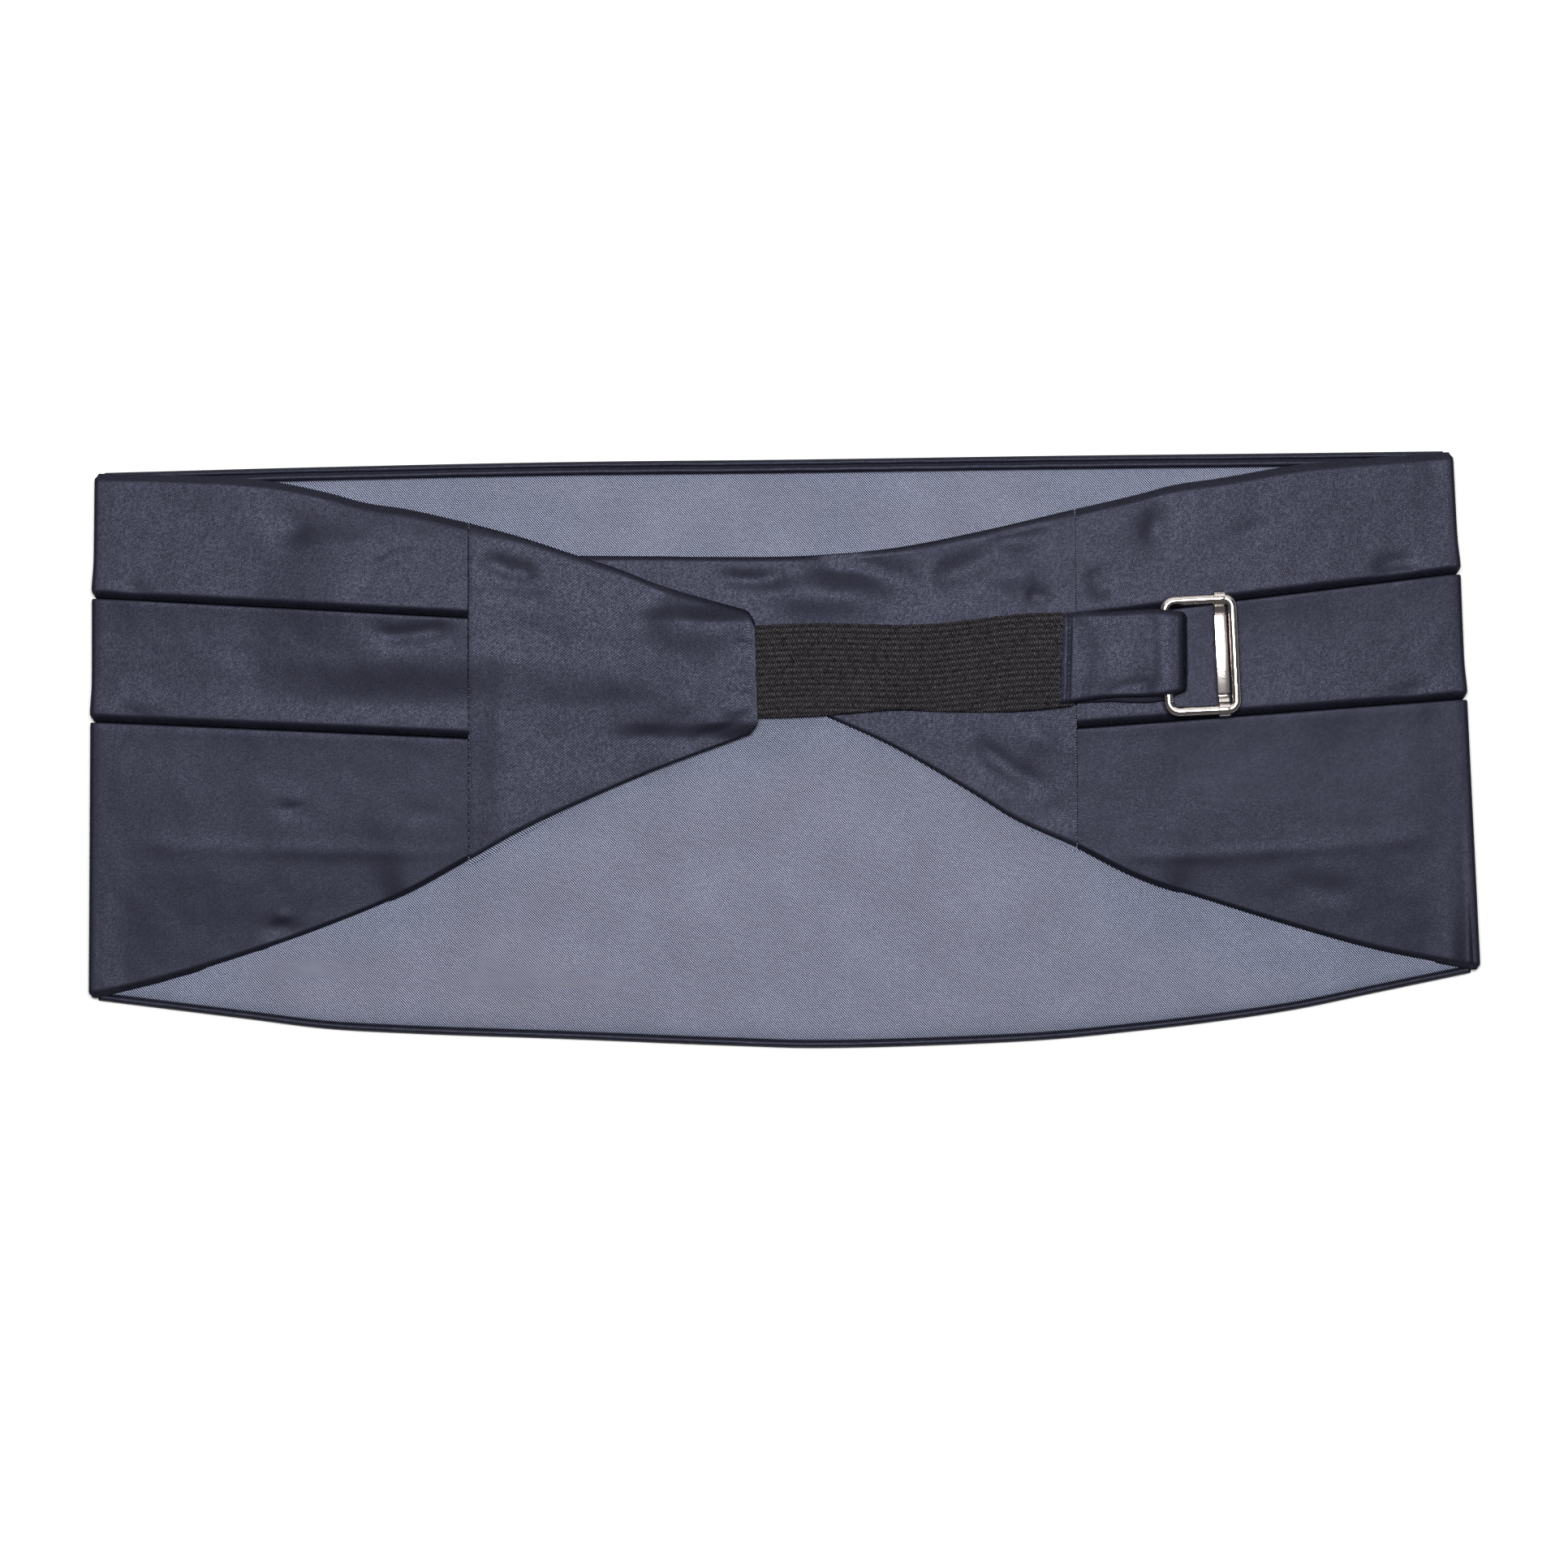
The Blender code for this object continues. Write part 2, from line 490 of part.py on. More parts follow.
def build_back_piece_right(collection) -> None:
    """The back piece that tapers from the right seam to the strap hidden under the left one."""
    top, bottom = through(RIGHT_BACK_TOP), through(RIGHT_BACK_BOTTOM)
    sections = [(EdgePoint(STRAP_END_X + inwards, STRAP_TOP_Y - cut),
                 EdgePoint(STRAP_END_X + inwards, STRAP_BOTTOM_Y + cut)) for inwards, cut in STRAP_END]
    start = STRAP_END_X + 2 * STRAP_END[-1][0]
    stretches = 28
    for i in range(stretches + 1):
        upper_x = mix(start, RIGHT_SEAM[0].x - GAP, i / stretches)
        lower_x = mix(start, RIGHT_SEAM[1].x - GAP, i / stretches)
        sections.append((EdgePoint(upper_x, top(upper_x)), EdgePoint(lower_x, bottom(lower_x))))
    rings = [shell_ring(upper, lower, lambda x, y: WING_Z, BACK_WALL, 6) for upper, lower in sections]
    loft("back_piece_right", rings, collection, SATIN)


# ---------------------------------------------------------------- elastic, tab and buckle

def elastic_under(x: float, y: float) -> float:
    """The height of the elastic's underside: flat, with one soft diagonal wave, rising into the tab."""
    along = Vector((WAVE_HEAD.x - WAVE_FOOT.x, WAVE_HEAD.y - WAVE_FOOT.y)).normalized()
    off = (x - WAVE_FOOT.x) * along.y - (y - WAVE_FOOT.y) * along.x
    wave = WAVE_HEIGHT * math.exp(-(off / WAVE_HALF_WIDTH) ** 2)
    return mix(OVER_BACK_Z + wave, ELASTIC_END_Z, share_between(x, ELASTIC_RISE_X))


def build_elastic(collection) -> None:
    """The knitted elastic, from inside the left tip to inside the tab."""
    top, bottom = through(ELASTIC_TOP), through(ELASTIC_BOTTOM)
    stretches = 30
    xs = [mix(*ELASTIC_ENDS_X, i / stretches) for i in range(stretches + 1)]
    rings = [shell_ring(EdgePoint(x, top(x)), EdgePoint(x, bottom(x)), elastic_under, ELASTIC_WALL, 6)
             for x in xs]
    loft("elastic", rings, collection, ELASTIC_KNIT)


class TabStation(NamedTuple):
    """A place on the tab's inner face: its place along the waist, height, and the way to its outer side."""

    x: float
    z: float
    out_x: float
    out_z: float


def tab_stations() -> list[TabStation]:
    """The tab's inner face from its hidden lower end, round its fold, to the end sewn on the elastic."""
    radius = TAB_FOLD_RADIUS - TAB_WALL
    centre_x, centre_z = TAB_FOLD_X - TAB_FOLD_RADIUS, TAB_INNER_Z + radius
    lower = [TabStation(mix(TAB_UNDER_START_X, centre_x, i / 10), TAB_INNER_Z, 0, -1) for i in range(10)]
    turns = [(math.cos(angle), math.sin(angle)) for angle in (math.radians(25 * i - 90) for i in range(7))]
    bend = [TabStation(centre_x + radius * cos, centre_z + radius * sin, cos, sin) for cos, sin in turns]
    height = through(TAB_FACE)
    upper = []
    count = 24
    for i in range(count + 1):
        x = mix(centre_x, TAB_TOP[0].x, (i / count) ** 1.2)
        slope = (height(x + 0.1) - height(x - 0.1)) / 0.2
        length = math.hypot(1, slope)
        upper.append(TabStation(x, TAB_INNER_Z + height(x), -slope / length, 1 / length))
    return lower + bend + upper


def build_buckle_tab(collection) -> None:
    """The satin tab, a strip of the elastic's width folded round the buckle's bar."""
    top, bottom, under_bottom = through(TAB_TOP), through(TAB_BOTTOM), through(TAB_UNDER_BOTTOM)
    inset = 0.015
    across = [mix(inset, 1 - inset, i / 4) for i in range(5)]
    outline = ([(0.0, share) for share in across] + [(0.5, 1.0)] + [(1.0, share) for share in reversed(across)]
               + [(0.5, 0.0)])
    rings = []
    for station in tab_stations():
        is_under = station.out_z < 0
        upper_y = top(station.x)
        lower_y = under_bottom(station.x) if is_under else bottom(station.x)
        slant = 0.0 if is_under else TAB_LEAN * max(0.0, 1 - (station.x - TAB_TOP[0].x) / TAB_LEAN_LENGTH)
        rings.append([Vector((station.x + slant * share + station.out_x * TAB_WALL * outwards,
                              mix(upper_y, lower_y, share), station.z + station.out_z * TAB_WALL * outwards))
                      for outwards, share in outline])
    loft("buckle_tab", rings, collection, SATIN)


def frame_place(along: float, across: float) -> Vector:
    """A point in the buckle's plane: along the waist from the bar in the tab, and across from its middle."""
    centre = Vector((FRAME_CENTRE.x, FRAME_CENTRE.y, BAR_Z))
    turned = Vector((math.cos(FRAME_TURN), math.sin(FRAME_TURN), 0))
    sideways = Vector((-math.sin(FRAME_TURN), math.cos(FRAME_TURN), 0))
    return centre + turned * (along - FRAME_WIDTH / 2) + sideways * across


def build_buckle_frame(collection) -> None:
    """The closed wire frame, its origin on the bar that the tab holds, which is its hinge's axis."""
    curve = bpy.data.curves.new("buckle_frame", "CURVE")
    curve.dimensions = "3D"
    curve.bevel_depth = WIRE_RADIUS * MM
    curve.bevel_resolution = 4
    points = []
    for x_side, y_side, start in ((1, 1, 0), (0, 1, 90), (0, -1, 180), (1, -1, 270)):
        middle_x = FRAME_WIDTH - FRAME_CORNER if x_side else FRAME_CORNER
        middle_y = y_side * (FRAME_LENGTH / 2 - FRAME_CORNER)
        for i in range(7):
            angle = math.radians(start + 15 * i)
            points.append((middle_x + FRAME_CORNER * math.cos(angle),
                           middle_y + FRAME_CORNER * math.sin(angle)))
    spline = curve.splines.new("POLY")
    spline.points.add(len(points) - 1)
    for point, (x, y) in zip(spline.points, points):
        point.co = (x * MM, y * MM, 0, 1)
    spline.use_cyclic_u = True
    made = add_object("buckle_frame", curve, collection, METAL)
    made.location = frame_place(0, 0) * MM
    made.rotation_euler.z = FRAME_TURN


def circle(spline, centre: float, radius: float, count: int) -> None:
    """Makes a spline a circle about a point on the first axis."""
    spline.points.add(count - 1)
    for i, point in enumerate(spline.points):
        angle = math.tau * (i + 0.5) / count
        point.co = ((centre + radius * math.cos(angle)) * MM, radius * math.sin(angle) * MM, 0, 1)
    spline.use_cyclic_u = True


def build_slider_bar(collection) -> None:
    """The flat bar with a round clasp at each end: its side outline, drawn flat and given its width."""
    curve = bpy.data.curves.new("slider_bar", "CURVE")
    curve.dimensions = "2D"
    curve.fill_mode = "BOTH"
    curve.extrude = SLIDER_WIDTH / 2 * MM
    half = FRAME_LENGTH / 2
    neck = math.asin(SLIDER_THICKNESS / 2 / CLASP_RADIUS)
    outline = []
    for side in (1, -1):
        for i in range(15):
            angle = math.pi - neck - (math.tau - 2 * neck) * i / 14
            outline.append((side * (half + CLASP_RADIUS * math.cos(angle)),
                            side * CLASP_RADIUS * math.sin(angle)))
    spline = curve.splines.new("POLY")
    spline.points.add(len(outline) - 1)
    for point, (x, y) in zip(spline.points, outline):
        point.co = (x * MM, y * MM, 0, 1)
    spline.use_cyclic_u = True
    for side in (1, -1):
        circle(curve.splines.new("POLY"), side * half, CLASP_BORE_RADIUS, 16)
    made = add_object("slider_bar", curve, collection, METAL)
    made.location = frame_place(SLIDER_FROM_BAR, 0) * MM
    made.rotation_euler = (math.pi / 2, 0, FRAME_TURN + math.pi / 2)


def main() -> None:
    """Clears the scene and builds every piece of the cummerbund."""
    for old in list(bpy.data.objects):
        bpy.data.objects.remove(old)
    collection = bpy.data.collections.new("cummerbund")
    bpy.context.scene.collection.children.link(collection)
    build_front_panel(collection)
    build_front_lining(collection)
    build_bindings(collection)
    build_back_piece_left(collection)
    build_back_piece_right(collection)
    build_elastic(collection)
    build_buckle_tab(collection)
    build_buckle_frame(collection)
    build_slider_bar(collection)


main()
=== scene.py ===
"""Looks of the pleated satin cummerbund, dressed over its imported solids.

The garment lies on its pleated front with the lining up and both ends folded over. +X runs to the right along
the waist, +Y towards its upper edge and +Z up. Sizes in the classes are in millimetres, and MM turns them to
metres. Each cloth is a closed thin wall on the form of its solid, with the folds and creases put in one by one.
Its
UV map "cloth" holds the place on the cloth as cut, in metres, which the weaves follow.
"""

import logging
import math
from collections.abc import Callable, Sequence
from dataclasses import dataclass, field, replace
from enum import Enum

import bmesh
import bpy
import numpy as np
from mathutils import Matrix, Vector, noise


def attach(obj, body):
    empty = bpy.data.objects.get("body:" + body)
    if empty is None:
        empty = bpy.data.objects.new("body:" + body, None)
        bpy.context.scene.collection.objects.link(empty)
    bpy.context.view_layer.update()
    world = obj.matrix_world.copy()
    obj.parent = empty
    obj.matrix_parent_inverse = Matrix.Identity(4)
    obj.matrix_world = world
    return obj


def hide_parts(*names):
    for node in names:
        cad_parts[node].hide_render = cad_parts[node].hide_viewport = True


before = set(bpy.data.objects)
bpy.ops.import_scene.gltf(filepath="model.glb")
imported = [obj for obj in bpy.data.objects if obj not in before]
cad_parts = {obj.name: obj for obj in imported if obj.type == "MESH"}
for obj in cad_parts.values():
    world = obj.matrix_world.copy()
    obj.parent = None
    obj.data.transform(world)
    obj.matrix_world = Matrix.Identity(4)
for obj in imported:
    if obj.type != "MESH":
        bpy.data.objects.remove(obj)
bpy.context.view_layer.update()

MM = 0.001
GAP = 0.3  # between neighbouring solids at a seam
CLOTH_UV = "cloth"
OUTER_FROM = 0.45  # from this share of its height on, a rounded edge belongs to the outer face
log = logging.getLogger("cummerbund")

Piece = bpy.types.Object
Material = bpy.types.Material
Socket = bpy.types.NodeSocket
Array = np.ndarray
Curve = Callable[..., Array]  # a value at places along the waist, or at places x, y
Row = tuple[float, float]
Rows = tuple[Row, ...]
Colour = tuple[float, float, float]


class Side(Enum):
    """The end of the garment that a wing belongs to."""

    LEFT = -1
    RIGHT = 1


class Hold(Enum):
    """How a cloth is held."""

    FOLDED = "folded"
    LAID = "laid"


# ---------------------------------------------------------------- curves and soft shapes

def mix(a: float, b: float, share: float) -> float:
    """The value that lies share of the way from a to b."""
    return a + (b - a) * share


def ease(share: Array | float) -> Array:
    """A share clamped to 0 and 1 that starts and ends softly."""
    held = np.clip(share, 0.0, 1.0)
    return held * held * (3 - 2 * held)


def through(rows: Sequence[Row]) -> Curve:
    """A smooth curve through a table of rows.

    Args:
        rows: the places and the values there, in order of place.

    Returns:
        The value as a function of the place; it takes arrays.
    """
    xs, ys = (np.array(column, float) for column in zip(*rows))
    chords = np.diff(ys) / np.diff(xs)
    slopes = np.concatenate([chords[:1], (chords[:-1] + chords[1:]) / 2, chords[-1:]])

    def value(x: Array) -> Array:
        """The curve's value at each place."""
        i = np.clip(np.searchsorted(xs, x) - 1, 0, len(xs) - 2)
        span = xs[i + 1] - xs[i]
        t = np.clip((x - xs[i]) / span, 0, 1)
        return (ys[i] * (1 + 2 * t) * (1 - t) ** 2 + slopes[i] * span * t * (1 - t) ** 2
                + ys[i + 1] * t * t * (3 - 2 * t) + slopes[i + 1] * span * t * t * (t - 1))

    return value


def from_line(x: Array, y: Array, points: Sequence[Row]) -> tuple[Array, Array]:
    """How far places are from a line of straight stretches.

    Args:
        x: the places along the waist.
        y: the places across it.
        points: the line's corners.

    Returns:
        The distance to the line, and the share along it of the nearest point.
    """
    best = np.full(np.shape(x), np.inf)
    share = np.zeros(np.shape(x))
    lengths = [math.dist(a, b) for a, b in zip(points, points[1:])]
    run = 0.0
    for (ax, ay), (bx, by), length in zip(points, points[1:], lengths):
        t = np.clip(((x - ax) * (bx - ax) + (y - ay) * (by - ay)) / length ** 2, 0, 1)
        off = np.hypot(x - ax - (bx - ax) * t, y - ay - (by - ay) * t)
        nearer = off < best
        best = np.where(nearer, off, best)
        share = np.where(nearer, (run + t * length) / sum(lengths), share)
        run += length
    return best, share


@dataclass(frozen=True)
class Crease:
    """A soft ridge, or a trough where its height is below 0, along a line."""

    points: Rows
    height: float
    half_width: float
    fade: float = 0.25  # share of its length over which each end dies out

    def at(self, x: Array, y: Array) -> Array:
        """The height that it adds at each place."""
        off, share = from_line(x, y, self.points)
        ends = ease(share / self.fade) * ease((1 - share) / self.fade) if self.fade else 1.0
        return self.height * np.exp(-(off / self.half_width) ** 2) * ends


@dataclass(frozen=True)
class Swell:
    """A soft mound, or a hollow where its height is below 0, about a place."""

    centre: Row
    reach: Row  # half sizes along and across the turned axis
    height: float
    turn: float = 0.0  # degrees

    def at(self, x: Array, y: Array) -> Array:
        """The height that it adds at each place."""
        cos, sin = math.cos(math.radians(self.turn)), math.sin(math.radians(self.turn))
        dx, dy = x - self.centre[0], y - self.centre[1]
        along, across = (dx * cos + dy * sin) / self.reach[0], (dy * cos - dx * sin) / self.reach[1]
        return self.height * np.exp(-(along ** 2 + across ** 2))


@dataclass(frozen=True)
class Slackness:
    """The slight unevenness of cloth that lies loose."""

    height: float
    spacing: float
    seed: float

    def at(self, x: Array, y: Array) -> Array:
        """The height that it adds at each place."""
        flat = np.stack([np.ravel(x), np.ravel(y)], 1) / self.spacing
        found = [noise.noise(Vector((px, py, self.seed))) for px, py in flat]
        return self.height * np.array(found).reshape(np.shape(x))


def relief(features: Sequence, x: Array, y: Array) -> Array:
    """The height that all the features together add at each place.

    Args:
        features: creases, swells and slacknesses.
        x: the places along the waist.
        y: the places across it.

    Returns:
        The height at each place, in millimetres.
    """
    total = np.zeros(np.shape(x))
    for feature in features:
        total = total + feature.at(x, y)
    return total


# ---------------------------------------------------------------- meshes

def settle(made: Piece, finish: Material, node: str | None = None,
           body: str = "garment") -> Piece:
    """Gives a finished piece its material and its body, and hides the solid that it stands for.

    Args:
        made: the piece, whose place is in its mesh.
        finish: its material.
        node: the solid that it stands for, where it has one.
        body: the body that it rides on.

    Returns:
        The same piece.
    """
    made.data.materials.clear()
    made.data.materials.append(finish)
    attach(made, body)
    if node:
        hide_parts(node)
    return made


def add_object(name: str, mesh: bpy.types.Mesh) -> Piece:
    """A new object of that mesh in the scene."""
    made = bpy.data.objects.new(name, mesh)
    bpy.context.scene.collection.objects.link(made)
    return made


def wall_mesh(name: str, rings: Array, cloth: Array) -> Piece:
    """A closed wall through rings of equal point counts.

    Args:
        name: the piece's name.
        rings: the points in millimetres, as ring, point, axis.
        cloth: the places on the cloth as cut, in millimetres, as ring, point, axis.

    Returns:
        The new object, smooth shaded.
    """
    count, around = rings.shape[:2]
    index = np.arange(count * around).reshape(count, around)
    near, far = index[:-1], index[1:]
    quads = np.stack([near, np.roll(near, -1, 1), np.roll(far, -1, 1), far], -1).reshape(-1, 4)
    mesh = bpy.data.meshes.new(name)
    mesh.from_pydata((rings.reshape(-1, 3) * MM).tolist(), [],
                     quads.tolist() + [index[0][::-1].tolist(), index[-1].tolist()])
    layer = mesh.uv_layers.new(name=CLOTH_UV)
    corners = np.empty(len(mesh.loops), np.int32)
    mesh.loops.foreach_get("vertex_index", corners)
    layer.data.foreach_set("uv", (cloth.reshape(-1, 2)[corners] * MM).astype(np.float32).ravel())
    bm = bmesh.new()
    bm.from_mesh(mesh)
    bmesh.ops.triangulate(bm, faces=[face for face in bm.faces if len(face.verts) > 4])
    bmesh.ops.recalc_face_normals(bm, faces=bm.faces)
    bm.to_mesh(mesh)
    bm.free()
    mesh.shade_smooth()
    last = (count - 1) * around
    for edge in mesh.edges:
        edge.use_edge_sharp = max(edge.vertices) < around or min(edge.vertices) >= last
    return add_object(name, mesh)


def rounded_ring(inset: Array | float, below: int, above: int) -> tuple[Array, Array]:
    """A ring round a wall's cut, between two rounded edges.

    Args:
        inset: how far the rounding takes each edge in, as a share of the wall's width.
        below: points on the inner face.
        above: points on the outer face.

    Returns:
        The share of the width at each point, and its height as a share of the wall.
    """
    inner = np.linspace(inset, 1 - inset, below)
    outer = np.linspace(1 - inset, inset, above)
    turn = np.radians([40, 0, -40])
    ends = inset * (1 - np.cos(turn))
    halves = np.sin(turn) / 2 + 0.5
    return (np.concatenate([inner, 1 - ends, outer, ends]),
            np.concatenate([0 * inner, 1 - halves, 0 * outer + 1, halves]))


def rolled(rolls: Sequence[Row], offs: Sequence[Array], power: float) -> Array:
    """How far a face falls off towards its edges.

    Args:
        rolls: for each edge, how far it falls and over what width.
        offs: for each edge, how far the places are from it.
        power: how sharply it turns down at the edge.

    Returns:
        The fall at each place.
    """
    return sum(fall * np.clip(1 - off / width, 0, 1) ** power for (fall, width), off in zip(rolls, offs))


def lengths_along(points: Array) -> Array:
    """The length run at each point of a line of points, from 0."""
    steps = np.linalg.norm(np.diff(points, axis=0), axis=1)
    return np.concatenate([[0.0], np.cumsum(steps)])


def select_only(*objects: Piece) -> None:
    """Selects these objects alone and makes the first one active."""
    bpy.ops.object.select_all(action="DESELECT")
    for one in objects:
        one.select_set(True)
    bpy.context.view_layer.objects.active = objects[0] if objects else None


def apply_modifier(made: Piece, kind: str, **values: object) -> None:
    """Adds a modifier with these values to a piece and applies it.

    Args:
        made: the piece.
        kind: the modifier's type.
        values: its settings.
    """
    select_only(made)
    modifier = made.modifiers.new(kind.title(), kind)
    for key, value in values.items():
        setattr(modifier, key, value)
    bpy.ops.object.modifier_apply(modifier=modifier.name)


def join(made: Piece, other: Piece, operation: str) -> None:
    """Adds another object to a piece, or cuts it out, and removes the other one."""
    apply_modifier(made, "BOOLEAN", operation=operation, object=other, solver="EXACT")
    bpy.data.objects.remove(other)


def place_in_mesh(made: Piece) -> None:
    """Moves a piece's place and turn into its mesh, so that its object sits at the origin."""
    select_only(made)
    bpy.ops.object.transform_apply(location=True, rotation=True, scale=True)


# ---------------------------------------------------------------- heights of the layers

@dataclass(frozen=True)
class Layers:
    """The heights at which the cloths lie on each other, as in the solids."""

    wing_z: float = 3.0
    over_back_z: float = 4.4
    elastic_wall: float = 1.2
    elastic_end_z: float = 6.5
    strap_end_x: float = -110.5
    strap_low_y: float = 25.8
    strap_high_y: float = 50.2
    strap_clear: float = 1.2
    strap_slope: Row = (30.0, 15.0)  # beyond its end, beside it
    left_seam_x: float = -81.9
    seam_slope: float = 9.0
    side_sink: float = 0.6
    side_slope: float = 14.0
    sink_ends: Row = (-40, -25)
    tip_rise: Row = (-54, -14)
    tip_sink: float = 0.8
    tip_side_slope: float = 5.0
    tip_low_y: float = 7.8  # the elastic's edges where it goes into the tip
    tip_high_y: float = 31.8
    elastic_rise: Row = (52, 70)
    wave_foot: Row = (20.5, 9)
    wave_head: Row = (38.5, 33)
    wave_height: float = 1.6
    wave_half_width: float = 6.0

    def strap_lift(self, x: Array, y: Array) -> Array:
        """How far the cloth over the strap is raised by it.

        Args:
            x: the places along the waist.
            y: the places across it.

        Returns:
            The rise at each place.
        """
        off_x = np.maximum(0.0, self.strap_end_x - x)
        off_y = np.maximum(0.0, np.maximum(y - self.strap_high_y, self.strap_low_y - y))
        offs = [np.maximum(0.0, off - self.strap_clear) / slope
                for off, slope in zip((off_x, off_y), self.strap_slope)]
        share = 1 - ease(np.hypot(*offs))
        return (self.over_back_z - self.wing_z) * share

    def left_back_under(self, x: Array, y: Array) -> Array:
        """The height of the left back piece's underside: over the strap, and over the elastic at its tip.

        Args:
            x: the places along the waist.
            y: the places across it.

        Returns:
            The height at each place.
        """
        off_strap = np.maximum(0.0, np.maximum(y - self.strap_high_y, self.strap_low_y - y))
        sink = self.side_sink * ease((off_strap - self.strap_clear) / self.side_slope)
        sink = sink * (1 - ease((x - self.sink_ends[0]) / (self.sink_ends[1] - self.sink_ends[0])))
        seam = ease((x - self.left_seam_x - GAP) / self.seam_slope)
        rise = (self.over_back_z - self.wing_z) * seam * (1 - sink)
        over_strap = self.wing_z + np.maximum(rise, self.strap_lift(x, y))
        off_elastic = np.maximum(y - self.tip_high_y, self.tip_low_y - y) - 2 * GAP
        lift = ease((x - self.tip_rise[0]) / (self.tip_rise[1] - self.tip_rise[0]))
        lift = lift * (1 - self.tip_sink * ease(off_elastic / self.tip_side_slope))
        over_elastic = self.over_back_z + self.elastic_wall + GAP
        return over_strap + (over_elastic - over_strap) * lift

    def elastic_under(self, x: Array, y: Array) -> Array:
        """The height of the elastic's underside: flat, with one soft diagonal wave, rising into the tab.

        Args:
            x: the places along the waist.
            y: the places across it.

        Returns:
            The height at each place.
        """
        dx, dy = self.wave_head[0] - self.wave_foot[0], self.wave_head[1] - self.wave_foot[1]
        off = ((x - self.wave_foot[0]) * dy - (y - self.wave_foot[1]) * dx) / math.hypot(dx, dy)
        waved = self.over_back_z + self.wave_height * np.exp(-(off / self.wave_half_width) ** 2)
        share = ease((x - self.elastic_rise[0]) / (self.elastic_rise[1] - self.elastic_rise[0]))
        return waved + (self.elastic_end_z - waved) * share


LAYERS = Layers()


# ---------------------------------------------------------------- the pleated cloth

@dataclass(frozen=True)
class PleatSteps:
    """Heights of a pleated wall's outer steps over its inner face."""

    crest: float  # folded edge of a band, where it laps the band above
    lip: float  # underside of that folded edge
    floor: float  # the pleat's lower side
    mouth: float  # a band where it dips into the pleat
    tail: float  # the same band a little before it dips
    high: float  # the uppermost band a little below its edge
    top: float  # the wall's upper edge
    bottom: float  # the wall's lower edge

    def towards(self, other: "PleatSteps", share: float) -> "PleatSteps":
        """The steps share of the way to the other ones."""
        names = self.__dataclass_fields__
        return PleatSteps(**{name: mix(getattr(self, name), getattr(other, name), share) for name in names})


